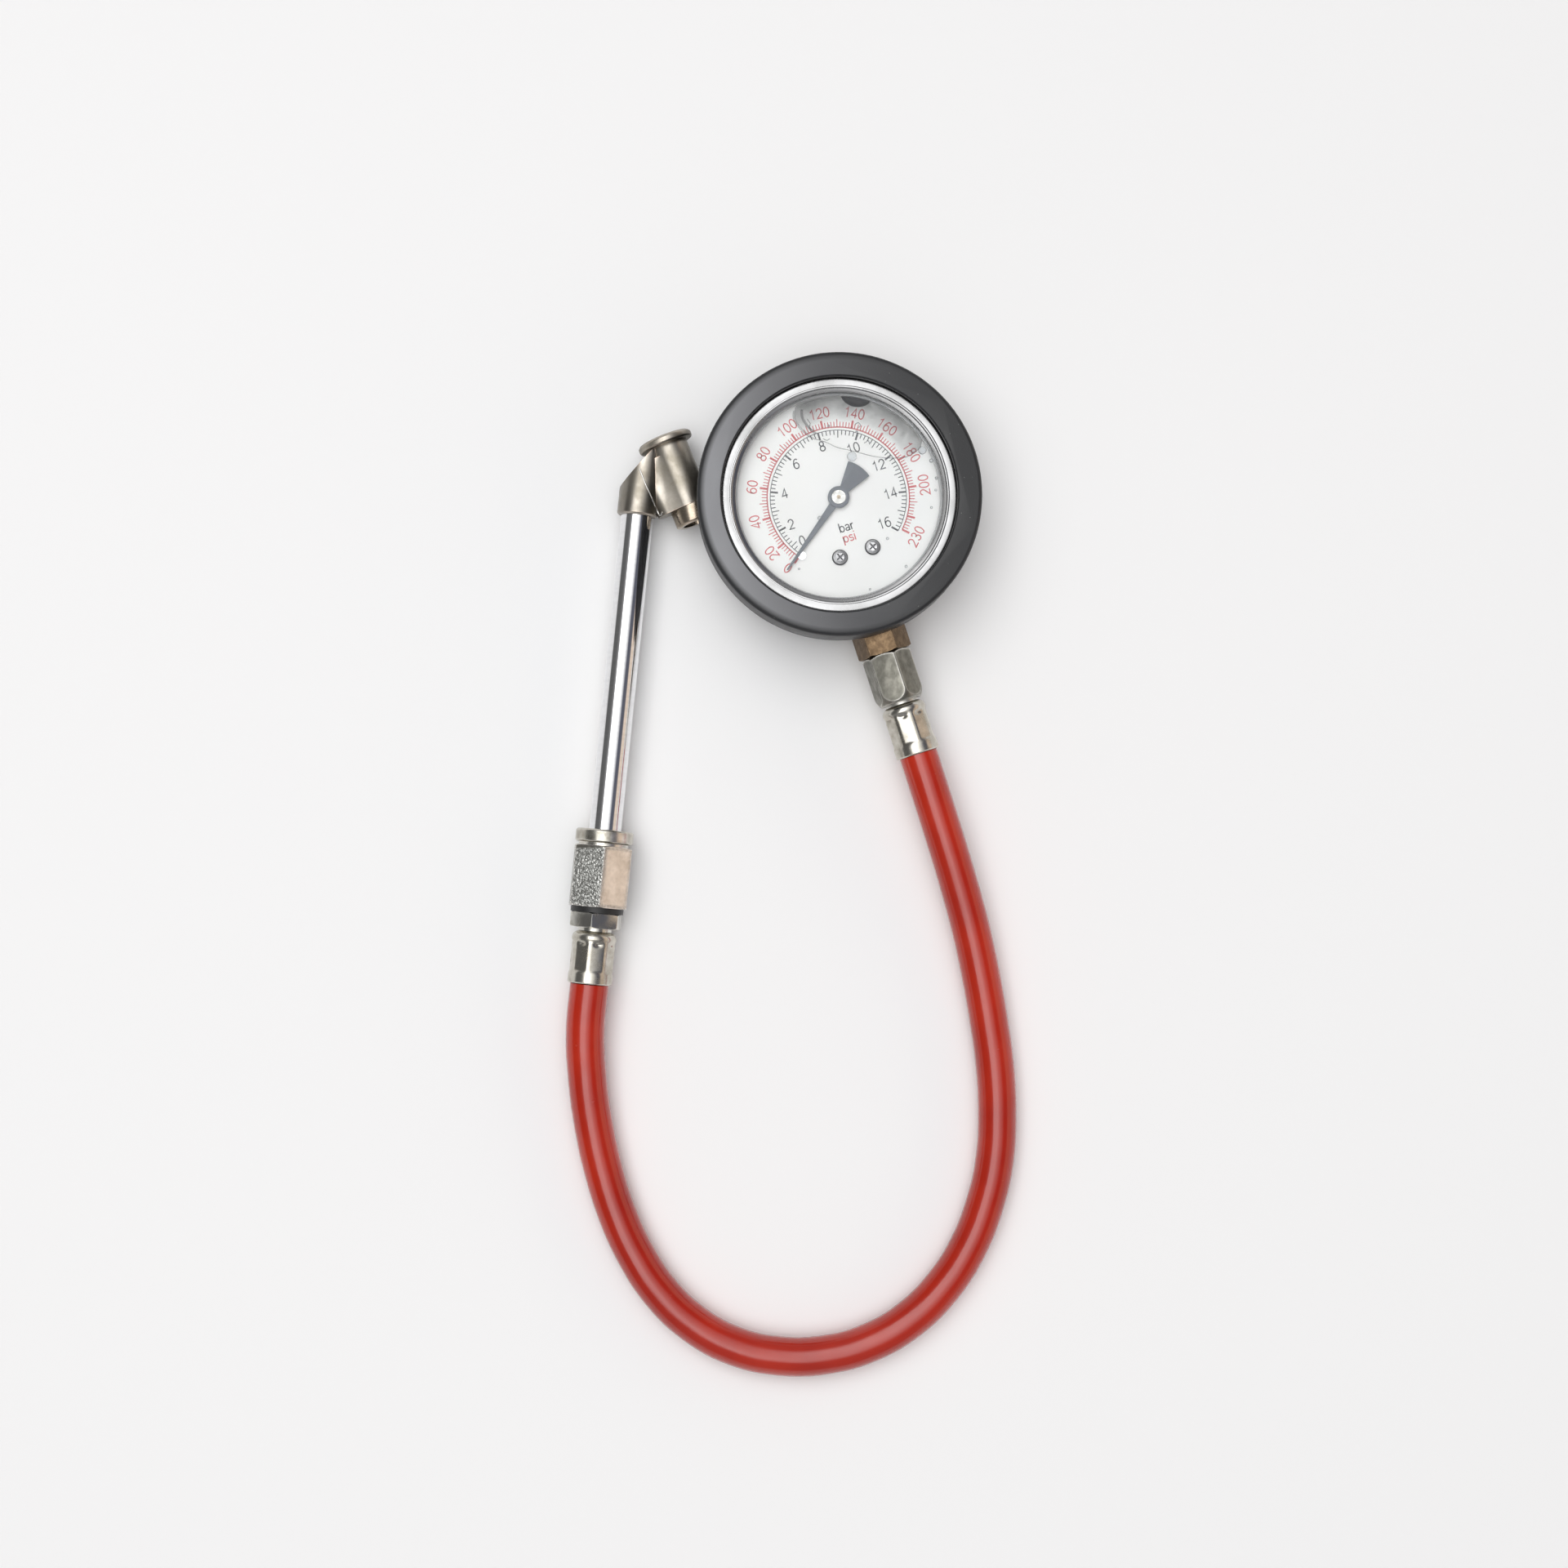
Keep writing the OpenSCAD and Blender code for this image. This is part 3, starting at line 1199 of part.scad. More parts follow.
rubber_boot();
gauge_case();
bezel_ring();
window_lens();
lens_gasket();
blowout_plug();
dial_plate();
dial_screws();
stop_pin();
pointer();
pointer_hub();
pinion_arbor();
sector_gear();
tip_link();
tube_tip();
bourdon_tube();
hairspring();
movement_back_plate();
movement_front_plate();
movement_pillars();
movement_screws();
stem_socket();
stem_seal();
restrictor();
nut_washer();
swivel_nut();
gauge_hose_tail();
gauge_ferrule();
hose();
chuck_ferrule();
chuck_hose_tail();
inlet_washer();
inlet_body();
chuck_tube();
chuck_head();
front_foot();
front_seal();
front_plunger();
rear_foot();
rear_seal();
rear_plunger();
plunger_spring();
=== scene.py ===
"""Looks of a tyre pressure gauge in a rubber boot, on a short hose with a two-footed air chuck."""

import math

import bmesh
import bpy
from mathutils import Matrix, Vector


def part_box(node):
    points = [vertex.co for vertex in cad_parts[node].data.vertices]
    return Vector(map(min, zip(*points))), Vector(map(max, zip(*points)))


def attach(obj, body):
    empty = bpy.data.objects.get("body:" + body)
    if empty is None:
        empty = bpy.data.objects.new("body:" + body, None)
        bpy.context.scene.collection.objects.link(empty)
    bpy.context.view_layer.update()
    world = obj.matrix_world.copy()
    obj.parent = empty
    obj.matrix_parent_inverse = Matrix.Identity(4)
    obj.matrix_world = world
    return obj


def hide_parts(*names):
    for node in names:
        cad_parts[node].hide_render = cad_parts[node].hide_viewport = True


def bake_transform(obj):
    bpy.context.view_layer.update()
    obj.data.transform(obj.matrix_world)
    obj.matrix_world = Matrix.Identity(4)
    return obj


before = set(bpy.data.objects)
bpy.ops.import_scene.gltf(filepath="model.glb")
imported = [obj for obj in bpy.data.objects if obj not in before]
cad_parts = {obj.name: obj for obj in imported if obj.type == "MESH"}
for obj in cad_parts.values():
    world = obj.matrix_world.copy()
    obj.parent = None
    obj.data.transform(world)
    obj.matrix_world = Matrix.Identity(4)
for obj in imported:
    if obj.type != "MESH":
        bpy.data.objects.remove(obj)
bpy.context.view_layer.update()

# ---- Camera --------------------------------------------------
# Looks almost straight down on the part, a little to its left and from beside the hose's loop.

camera_data = bpy.data.cameras.new("camera")
camera_data.lens = 62.9
camera_data.sensor_width = 36.0
camera = bpy.data.objects.new("camera", camera_data)
bpy.context.scene.collection.objects.link(camera)
camera.location = (-0.0436, -0.1181, 0.8172)
camera.rotation_mode = "ZYX"
camera.rotation_euler = [math.radians(turn) for turn in (2.51, -2.0, 0.03)]
bpy.context.scene.camera = camera
bpy.context.scene.view_settings.view_transform = "Standard"

# ---- Hose ----------------------------------------------------
# Glossy red PVC hose, extruded, 11.5 mm thick. It is pushed over two barbed tails, leaves the
# gauge's ferrule, lies down on the table in one open loop and rises again to the chuck's ferrule.


def mm(*point):
    """A point given in millimetres."""
    return Vector(point) / 1000


def feed(tree, socket, value):
    """Sets a socket to a value, or links it to the socket that gives it."""
    if isinstance(value, bpy.types.NodeSocket):
        tree.links.new(value, socket)
    else:
        socket.default_value = value


def node(tree, kind, sockets=None, **settings):
    """A shader node whose inputs are plain values or the sockets that feed them."""
    made = tree.nodes.new("ShaderNode" + kind)
    for name, value in settings.items():
        setattr(made, name, value)
    for name, value in (sockets or {}).items():
        feed(tree, made.inputs[name], value)
    return made


def wire(tree, sockets, **values):
    """Feeds several sockets by name, such as a shader's inputs."""
    for name, value in values.items():
        feed(tree, sockets[name.replace("_", " ")], value)


def coordinate(tree, kind="Object"):
    """Where a shaded point is, or with another kind which way it faces."""
    return node(tree, "TexCoord").outputs[kind]


def noise(tree, where, scale, detail=2.0, **more):
    """A cloudy value between 0 and 1."""
    sockets = {"Vector": where, "Scale": scale, "Detail": detail, **more}
    return node(tree, "TexNoise", sockets).outputs["Fac"]


def span(tree, value, low, high, to_low=0.0, to_high=1.0):
    """Maps a value from one range to another."""
    sockets = {
        "Value": value, "From Min": low, "From Max": high, "To Min": to_low, "To Max": to_high,
    }
    return node(tree, "MapRange", sockets).outputs["Result"]


def bands(tree, value, stops):
    """Colours along a value, from pairs of a place and a grey or a colour."""
    made = node(tree, "ValToRGB", {"Fac": value})
    ramp = made.color_ramp
    ramp.elements.remove(ramp.elements[1])
    for index, (place, tone) in enumerate(stops):
        spot = ramp.elements[0] if index == 0 else ramp.elements.new(place)
        spot.position = place
        spot.color = rgb(*tone) if isinstance(tone, tuple) else rgb(tone, tone, tone)
    return made.outputs["Color"]


def bump(tree, height, depth, strength=1.0):
    """A normal that follows a height, with its depth in metres."""
    sockets = {"Height": height, "Strength": strength, "Distance": depth}
    return node(tree, "Bump", sockets).outputs["Normal"]


def material(name, **sockets):
    """A new material, its node tree and its Principled shader, set to the given plain values."""
    made = bpy.data.materials.new(name)
    made.use_nodes = True
    tree = made.node_tree
    shader = tree.nodes["Principled BSDF"]
    wire(tree, shader.inputs, **sockets)
    return made, tree, shader


def rgb(red, green, blue):
    """An opaque colour."""
    return (red, green, blue, 1.0)


def shown(data, finish, body="gauge_and_chuck", source=None):
    """Puts a mesh or curve into the scene as a piece of the same name, with its finish. It can
    ride on a body and replace a CAD node."""
    piece = bpy.data.objects.new(data.name, data)
    bpy.context.scene.collection.objects.link(piece)
    data.materials.clear()
    data.materials.append(finish)
    if body:
        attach(piece, body)
    if source:
        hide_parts(source)
    return piece


def round_line(name, points, radius, bevel_steps):
    """A round rod or hose along a smooth curve through the points, its radius in millimetres."""
    line = bpy.data.curves.new(name, "CURVE")
    line.dimensions = "3D"
    line.bevel_depth = radius / 1000
    line.bevel_resolution = bevel_steps
    line.resolution_u = 6
    run = line.splines.new("BEZIER")
    run.bezier_points.add(len(points) - 1)
    for point, place in zip(run.bezier_points, points):
        point.co = place
        point.handle_left_type = point.handle_right_type = "AUTO"
    return line


STEM_TURN = math.radians(18)
STEM_Z = 13.5
TUBE_LEAN = math.radians(-5.7)
TUBE_FOOT = (-58.783, -3.4, 9.497)


def on_stem(at):
    """Frame whose +Z runs down the stem, from a distance along it."""
    return (
        Matrix.Rotation(STEM_TURN, 4, "Z")
        @ Matrix.Translation(mm(0, -at, STEM_Z))
        @ Matrix.Rotation(math.radians(90), 4, "X")
    )


def on_tube(at):
    """Frame whose +Z runs down the chuck's tube, from a distance along it."""
    return (
        Matrix.Translation(mm(*TUBE_FOOT))
        @ Matrix.Rotation(TUBE_LEAN, 4, "Z")
        @ Matrix.Translation(mm(0, at, 0))
        @ Matrix.Rotation(math.radians(90), 4, "X")
    )


hose_radius = 5.75
hose_route = [
    (28.2, -87, 13.2), (32.4, -100, 11.9), (36.4, -113, 10.2), (40, -126, 8.6),
    (43, -139.5, 7.2), (45.4, -153, 6.2), (47.2, -166.5, 5.8), (47.8, -180, 5.8),
    (47, -193.5, 5.8), (44, -206.7, 5.8), (39, -219.2, 5.8), (31.5, -230.7, 5.8),
    (21.8, -240.2, 5.8), (10, -247, 5.8), (-3, -250.5, 5.8), (-16.7, -250.8, 5.8),
    (-30, -247.8, 5.8), (-42, -241.2, 5.8), (-51.7, -231.9, 5.8), (-59.2, -220.5, 5.8),
    (-64.8, -208, 5.8), (-68.8, -195, 5.9), (-71.6, -181.8, 6.4), (-73.3, -168.4, 7.4),
    (-73.8, -155, 8.8),
]
hose_exit = on_stem(77.8).translation
hose_entry = on_tube(-138.7).translation
hose_points = [hose_exit, *(mm(*point) for point in hose_route), hose_entry]

hose_pvc, tree, shader = material("red_pvc", IOR=1.48, Coat_Weight=0.5, Coat_Roughness=0.04)
where = coordinate(tree)
ripple = noise(tree, where, 260.0, 4.0)
wire(
    tree, shader.inputs,
    Base_Color=bands(tree, noise(tree, where, 38.0, 3.0), [
        (0.3, (0.36, 0.012, 0.003)), (0.7, (0.50, 0.024, 0.006)),
    ]),
    Roughness=span(tree, ripple, 0.3, 0.75, 0.12, 0.28),
    Normal=bump(tree, ripple, 0.0004, strength=0.12),
)

hose_tube = round_line("hose_tube", hose_points, hose_radius, 9)
hose = shown(hose_tube, hose_pvc, source="hose")

# ---- Table and light -----------------------------------------
# A pale seamless table top, a large soft lamp above and a pale backdrop. The room has a broad
# bright window overhead, sharp on its left and fading to its right, dim walls, and a warm wall
# low on the right: they give the plated metal its bright, dark and tawny bands.


def written(bm, name, corner=None, mesh=None):
    """Writes a bmesh to a new or given mesh. With a corner in degrees it is smooth up to that."""
    mesh = mesh or bpy.data.meshes.new(name)
    if corner:
        for face in bm.faces:
            face.smooth = True
    bm.to_mesh(mesh)
    bm.free()
    if corner:
        mesh.set_sharp_from_angle(angle=math.radians(corner))
    return mesh


def calc(tree, operation, first, second=0.0, clamp=False):
    """What one or two values come to, by the name of the operation."""
    sockets = {0: first, 1: second}
    return node(tree, "Math", sockets, operation=operation, use_clamp=clamp).outputs[0]


def tint(tree, factor, first, second, blend="MIX"):
    """Colour between two others."""
    sockets = {0: factor, 6: first, 7: second}
    return node(tree, "Mix", sockets, data_type="RGBA", blend_type=blend).outputs[2]


bm = bmesh.new()
bmesh.ops.create_grid(bm, x_segments=1, y_segments=1, size=3.0)
table = bpy.data.objects.new("table", written(bm, "table"))
table.location = (0, 0, -0.0001)
bpy.context.scene.collection.objects.link(table)
pale = material(
    "pale_table", Base_Color=rgb(0.93, 0.93, 0.93), Roughness=0.6, Specular_IOR_Level=0.2
)[0]
table.data.materials.append(pale)

lamp_data = bpy.data.lights.new("soft_lamp", "AREA")
lamp_data.shape = "RECTANGLE"
lamp_data.size = 0.7
lamp_data.size_y = 1.1
lamp_data.energy = 2.3
lamp = bpy.data.objects.new("soft_lamp", lamp_data)
lamp.location = (-0.30, 0.05, 1.05)
lamp_aim = Vector((0, -0.1, 0)) - lamp.location
lamp.rotation_euler = lamp_aim.to_track_quat("-Z", "Y").to_euler()
lamp.visible_glossy = False
bpy.context.scene.collection.objects.link(lamp)

room = bpy.data.worlds.new("room")
bpy.context.scene.world = room
room.use_nodes = True
tree = room.node_tree
sky = tree.nodes["Background"]
parts = node(tree, "SeparateXYZ", {"Vector": coordinate(tree, "Generated")}).outputs
aside = calc(tree, "ARCTAN2", parts["X"], parts["Z"])
sweep = span(tree, aside, math.radians(-90), math.radians(90))
walls = bands(tree, sweep, [
    (0.0, 0.32), (0.09, 0.12), (0.25, 0.14), (0.31, 0.32), (0.40, 0.42), (0.60, 0.40),
    (0.68, (0.12, 0.125, 0.16)), (0.79, (0.12, 0.125, 0.15)), (0.83, (0.85, 0.70, 0.58)),
    (0.93, (0.80, 0.66, 0.54)), (0.97, (0.20, 0.17, 0.15)), (1.0, 0.32),
])
window = bands(tree, sweep, [
    (0.325, 0.0), (0.35, 1.0), (0.489, 1.0), (0.533, 0.60), (0.578, 0.34), (0.644, 0.16),
    (0.685, 0.0),
])
ahead = calc(tree, "ABSOLUTE", calc(tree, "SUBTRACT", parts["Y"], 0.1))
dim = tint(tree, span(tree, ahead, 0.45, 0.85), walls, rgb(0.30, 0.30, 0.31))
within = span(tree, ahead, 0.40, 0.62, 2.4, 0.0)
glow = node(tree, "VectorMath", {"Scale": within, 0: window}, operation="SCALE").outputs["Vector"]
lit = tint(tree, 1.0, dim, glow, "ADD")
# the backdrop near the horizon is seen and mirrored, but lights nothing
rays = node(tree, "LightPath").outputs
seen = calc(tree, "MAXIMUM", rays["Is Camera Ray"], rays["Is Glossy Ray"])
seen = calc(tree, "MAXIMUM", seen, rays["Is Transmission Ray"])
backdrop = calc(tree, "MULTIPLY", span(tree, parts["Z"], 0.22, 0.13), seen)
feed(tree, sky.inputs["Color"], tint(tree, backdrop, lit, rgb(0.80, 0.80, 0.80)))

# ---- Case ----------------------------------------------------
# Drawn stainless cup with a turned-out flange. The stem's seal closes its side hole, and the
# throttle screw sits in the end of the stem. Most of it is hidden in the boot.


def group(name, inputs, outputs):
    """A new node group, its input sockets and its output sockets, from names and kinds."""
    made = bpy.data.node_groups.new(name, "ShaderNodeTree")
    for in_out, sockets in (("INPUT", inputs), ("OUTPUT", outputs)):
        for label, kind in sockets.items():
            made.interface.new_socket(label, in_out=in_out, socket_type="NodeSocket" + kind)
    return made, made.nodes.new("NodeGroupInput").outputs, made.nodes.new("NodeGroupOutput").inputs


def dot(tree, first, second):
    """How far one direction runs along another."""
    sockets = {0: first, 1: second}
    return node(tree, "VectorMath", sockets, operation="DOT_PRODUCT").outputs["Value"]


# edges for wear and painted highlight: the bevelled normal leaves the true one near an edge,
# whatever the mesh
edge_group, given, result = group("edges_worn_and_highlit", {"Width": "Float"}, {"Mask": "Float"})
rounded = node(edge_group, "Bevel", {"Radius": given["Width"]}, samples=4).outputs["Normal"]
true_normal = node(edge_group, "NewGeometry").outputs["Normal"]
along = dot(edge_group, rounded, true_normal)
feed(edge_group, result["Mask"], span(edge_group, along, 0.995, 0.9))


def worn_edge(tree, width):
    """A mask of the sharp edges, out to a width in metres."""
    return node(tree, "Group", {"Width": width}, node_tree=edge_group).outputs["Mask"]


SURFACE = {"Color": "Color", "Roughness": "Float", "Normal": "Vector"}


def surfaced(tree, shader, kind, **sockets):
    """Gives a shader its colour, roughness and normal from a group that makes a surface."""
    made = node(tree, "Group", sockets, node_tree=kind).outputs
    wire(
        tree, shader.inputs,
        Base_Color=made["Color"], Roughness=made["Roughness"], Normal=made["Normal"],
    )


# finish of bare and plated metal: cloudy patches, fine lines along one axis, edges tinted for wear
# and as a painted highlight
metal_group, given, result = group(
    "metal_surface",
    {
        "Vector": "Vector", "Bright": "Color", "Dull": "Color", "Smooth": "Float", "Rough": "Float",
        "Patches": "Float", "Lines": "Float", "Depth": "Float", "Wear": "Float", "Worn": "Color",
        "Edge": "Float",
    },
    SURFACE,
)
tree = metal_group
patch = span(tree, noise(tree, given["Vector"], given["Patches"], 5.0, Roughness=0.6), 0.38, 0.64)
lines = noise(tree, given["Vector"], given["Lines"], 3.0)
# edge tint: wear, and where near white a painted highlight
worn_and_highlit = calc(tree, "MULTIPLY", worn_edge(tree, given["Edge"]), given["Wear"])
plain = tint(tree, patch, given["Bright"], given["Dull"])
dull_or_shade_mask = calc(tree, "MULTIPLY", patch, lines)
wire(
    tree, result,
    Color=tint(tree, worn_and_highlit, plain, given["Worn"]),
    Roughness=span(tree, dull_or_shade_mask, 0.0, 0.7, given["Smooth"], given["Rough"]),
    Normal=bump(tree, lines, given["Depth"]),
)


def metal(name, bright, dull, smooth, rough, patches, lines, depth,
          wear_and_highlight=0.3, turn=0.0, stretch=(1, 1, 1), worn_and_highlit=(0.95, 0.93, 0.88), edge=0.0003):
    """A bare or plated metal: its colours and roughness in clear and dulled patches, the scales
    of the patches and lines, the lines' depth in metres, the share, colour and width of the edges'
    wear and painted highlight.
    The lines run across the axes that stretch makes long."""
    made, tree, shader = material(name, Metallic=1.0)
    sockets = {"Vector": coordinate(tree), "Rotation": (0, 0, turn), "Scale": stretch}
    surfaced(
        tree, shader, metal_group, Vector=node(tree, "Mapping", sockets).outputs["Vector"],
        Bright=rgb(*bright), Dull=rgb(*dull), Smooth=smooth, Rough=rough, Patches=patches,
        Lines=lines, Depth=depth, Wear=wear_and_highlight, Worn=rgb(*worn_and_highlit), Edge=edge,
    )
    return made


def dress(finish, *names):
    """Gives CAD nodes that stay as they are their finish."""
    for name in names:
        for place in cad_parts[name].material_slots:
            place.material = finish


# moulded rubber: faint grain, a bloom that dulls it in clouds and specks of dust
rubber_group, given, result = group(
    "rubber_surface",
    {"Vector": "Vector", "Colour": "Color", "Bloom": "Color", "Grain": "Float", "Depth": "Float"},
    SURFACE,
)
tree = rubber_group
cloud = noise(tree, given["Vector"], 45.0, 6.0, Roughness=0.62)
specks = node(tree, "TexVoronoi", {"Vector": given["Vector"], "Scale": 420.0}).outputs["Distance"]
coloured = tint(tree, span(tree, cloud, 0.42, 0.72), given["Colour"], given["Bloom"])
wire(
    tree, result,
    Color=tint(tree, span(tree, specks, 0.06, 0.03), coloured, rgb(0.16, 0.16, 0.16)),
    Roughness=span(tree, cloud, 0.3, 0.7, 0.36, 0.52),
    Normal=bump(tree, noise(tree, given["Vector"], given["Grain"]), given["Depth"]),
)


def rubber(name, colour, bloom, grain=5000.0, depth=0.00002):
    """A moulded rubber, with its grain's scale and depth."""
    made, tree, shader = material(name, IOR=1.52)
    surfaced(
        tree, shader, rubber_group, Vector=coordinate(tree), Colour=rgb(*colour),
        Bloom=rgb(*bloom), Grain=grain, Depth=depth,
    )
    return made


WELD = 0.000002  # metres
FLAT = math.radians(0.6)


def round_edges(bm, width, corner, steps):
    """Rounds the edges sharper than a corner in degrees, to a width in millimetres."""
    sharp = [
        edge for edge in bm.edges
        if len(edge.link_faces) == 2 and edge.calc_face_angle() > math.radians(corner)
    ]
    bmesh.ops.bevel(
        bm, geom=sharp, offset=width / 1000, offset_type="OFFSET", affect="EDGES",
        segments=steps, profile=0.5, material=-1, clamp_overlap=True,
    )


def eased(name, source, width, finish, body="gauge_and_chuck", corner=28, steps=2):
    """A copy of a CAD node with its flat faces joined and its sharp edges rounded."""
    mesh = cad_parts[source].data.copy()
    mesh.name = name
    if "custom_normal" in mesh.attributes:
        mesh.attributes.remove(mesh.attributes["custom_normal"])
    bm = bmesh.new()
    bm.from_mesh(mesh)
    bmesh.ops.remove_doubles(bm, verts=bm.verts, dist=WELD)
    bmesh.ops.dissolve_limit(bm, angle_limit=FLAT, verts=bm.verts, edges=bm.edges)
    round_edges(bm, width, corner, steps)
    shown(written(bm, name, corner, mesh), finish, body, source)


case_steel = metal(
    "case_steel", (0.62, 0.62, 0.62), (0.50, 0.50, 0.49), 0.22, 0.45, 120, 3000, 0.000004, 0.2,
    stretch=(1, 1, 12),
)
seal_rubber = rubber("seal_rubber", (0.010, 0.010, 0.010), (0.022, 0.022, 0.022))
movement_brass = metal(
    "movement_brass", (0.74, 0.55, 0.27), (0.62, 0.43, 0.19), 0.18, 0.36, 300, 5000, 0.000003, 0.3
)
dress(case_steel, "gauge_case")
pale_gasket = rubber("pale_gasket", (0.62, 0.62, 0.61), (0.70, 0.70, 0.69))
dress(pale_gasket, "lens_gasket")
dress(seal_rubber, "stem_seal", "nut_washer", "inlet_washer", "front_seal", "rear_seal")
dress(movement_brass, "restrictor")

# ---- Socket and stem -----------------------------------------
# One brass forging: the socket block behind the dial, the stem, and the hexagon that shows
# below the boot. The hexagon is milled and streaked along the stem; its brass is coloured dark as
# painted shade from the boot.

# brass far darker than its own colour: painted shade
stem_brass = metal(
    "stem_brass", (0.160, 0.108, 0.064), (0.105, 0.070, 0.042), 0.22, 0.40, 420, 3600, 0.000006,
    turn=-STEM_TURN, stretch=(1.4, 1.0, 1.4), worn_and_highlit=(0.50, 0.36, 0.22),
)
eased("stem_socket_forging", "stem_socket", 0.2, stem_brass)

# ---- Movement ------------------------------------------------
# Brass plates, pillars and gears, a phosphor bronze pressure tube and blued-grey springs. All
# of it hides behind the dial.

bronze = metal(
    "phosphor_bronze", (0.66, 0.42, 0.22), (0.50, 0.29, 0.14), 0.2, 0.4, 250, 4000, 0.000003
)
spring_steel = metal(
    "spring_steel", (0.62, 0.62, 0.64), (0.45, 0.45, 0.48), 0.16, 0.3, 400, 6000, 0.000002
)
screw_steel = metal(
    "screw_steel", (0.42, 0.42, 0.43), (0.28, 0.28, 0.29), 0.22, 0.42, 500, 6000, 0.000003, 0.5
)
arbor_metal = metal(
    "arbor_metal", (0.26, 0.22, 0.17), (0.18, 0.15, 0.12), 0.25, 0.45, 900, 8000, 0.000002
)
dress(arbor_metal, "pinion_arbor")
dress(
    movement_brass, "sector_gear", "tube_tip", "movement_back_plate",
    "movement_front_plate", "movement_pillars",
)
dress(spring_steel, "hairspring", "stop_pin")
dress(screw_steel, "tip_link", "movement_screws")


def length_of(name, source, at, ahead, finish):
    """The share of a CAD node that lies ahead of a plane, closed where it is cut."""
    bm = bmesh.new()
    bm.from_mesh(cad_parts[source].data)
    bmesh.ops.remove_doubles(bm, verts=bm.verts, dist=WELD)
    cut = bmesh.ops.bisect_plane(
        bm, geom=[*bm.verts, *bm.edges, *bm.faces], dist=0.0000005, plane_co=at, plane_no=ahead,
        clear_inner=True,
    )["geom_cut"]
    rims = [item for item in cut if isinstance(item, bmesh.types.BMEdge)]
    if source == "bourdon_tube":
        bmesh.ops.bridge_loops(bm, edges=rims)
    else:
        bmesh.ops.holes_fill(bm, edges=rims, sides=0)
    bmesh.ops.recalc_face_normals(bm, faces=bm.faces)
    return shown(written(bm, name, corner=32), finish, None, source)


# the pressure tube is held at one end; its free quarter is cut off as a piece of its own
bend_at = mm(0.07, 22, 13.5)
tube_held = length_of("bourdon_tube_held", "bourdon_tube", bend_at, (-1, 0, 0), bronze)
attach(tube_held, "gauge_and_chuck")
tube_free = length_of("bourdon_tube_free", "bourdon_tube", bend_at, (1, 0, 0), bronze)
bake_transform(tube_free)

# ---- Dial ----------------------------------------------------
# Aluminium disc in white enamel. Two scales are printed on it: bar in black inside, psi in red
# outside, each with its arc, ticks and numbers, and the two unit words under the pointer's axis.

DIAL_TOP = 24.8
DIAL_THICK = 0.6
DIAL_R = 30
PRINT_TURN = math.radians(17.5)

enamel, tree, shader = material("dial_enamel", IOR=1.5)
where = coordinate(tree)
cloud = noise(tree, where, 55.0, 4.0)
wire(
    tree, shader.inputs,
    Base_Color=tint(
        tree, span(tree, cloud, 0.3, 0.7), rgb(0.93, 0.93, 0.92), rgb(0.90, 0.90, 0.885)
    ),
    Roughness=span(tree, cloud, 0.3, 0.7, 0.34, 0.48),
    Normal=bump(tree, noise(tree, where, 1800.0, 1.0), 0.000004),
)


def bow(x, y, across, up, start, end, steps=14):
    """Points along part of an ellipse, between two angles in degrees."""
    turns = [math.radians(start + (end - start) * k / steps) for k in range(steps + 1)]
    return [(x + across * math.cos(t), y + up * math.sin(t)) for t in turns]


def thicken(bm, thick=0.02):
    """Gives flat faces a thickness in millimetres, upwards."""
    bmesh.ops.remove_doubles(bm, verts=bm.verts, dist=0.0000001)
    flat = bmesh.ops.extrude_face_region(bm, geom=bm.faces[:])["geom"]
    raised = [item for item in flat if isinstance(item, bmesh.types.BMVert)]
    bmesh.ops.translate(bm, verts=raised, vec=mm(0, 0, thick))
    bmesh.ops.recalc_face_normals(bm, faces=bm.faces)


# the dial is cut out round the plug
PLUG_TURN = math.radians(80)
CENTRE_HOLE_R, SCREW_HOLE_R = 1.8, 1.7
notch = bow(31.0, 0, 3.9, 4.75, 249, 111, 26)
notch = [(x, y) for x, y in notch if math.hypot(x, y) < DIAL_R - 0.1]
notch_end = math.degrees(math.atan2(notch[-1][1], notch[-1][0]))
rim = bow(0, 0, DIAL_R, DIAL_R, notch_end + 0.6, 360 - notch_end - 0.6, 150)
screw_places = [Matrix.Rotation(STEM_TURN, 4, "Z") @ mm(x, -16.75, 0) for x in (-5, 5)]
loops = [[Matrix.Rotation(PLUG_TURN, 4, "Z") @ mm(x, y, 0) for x, y in [*notch, *rim]]]
for r, spot in [(CENTRE_HOLE_R, mm(0, 0, 0)), *((SCREW_HOLE_R, at) for at in screw_places)]:
    loops.append([mm(x, y, 0) + spot for x, y in bow(0, 0, r, r, 0, 350, 35)])
bm = bmesh.new()
for loop in loops:
    corners = [bm.verts.new(point) for point in loop]
    for pair in zip(corners, corners[1:] + corners[:1]):
        bm.edges.new(pair)
bmesh.ops.triangle_fill(bm, edges=bm.edges[:], use_beauty=True)
thicken(bm, DIAL_THICK)
bmesh.ops.translate(bm, verts=bm.verts, vec=mm(0, 0, DIAL_TOP - DIAL_THICK))
shown(written(bm, "dial_enamelled"), enamel, source="dial_plate")


def ink(name, colour, faded):
    """Printing ink, thinner in places."""
    made, tree, shader = material(name, Roughness=0.5)
    thin = span(tree, noise(tree, coordinate(tree), 900.0, 3.0), 0.35, 0.75)
    wire(tree, shader.inputs, Base_Color=tint(tree, thin, rgb(*colour), rgb(*faded)))
    return made


def add_stroke(bm, turn, start, end, width):
    """A straight printed stroke along a radius of the dial."""
    middle = Matrix.Rotation(turn, 4, "Z") @ Matrix.Translation(mm((start + end) / 2, 0, 0))
    size = Matrix.Diagonal((abs(end - start) / 1000, width / 1000, 1, 1))
    bmesh.ops.create_grid(bm, x_segments=1, y_segments=1, size=0.5, matrix=middle @ size)


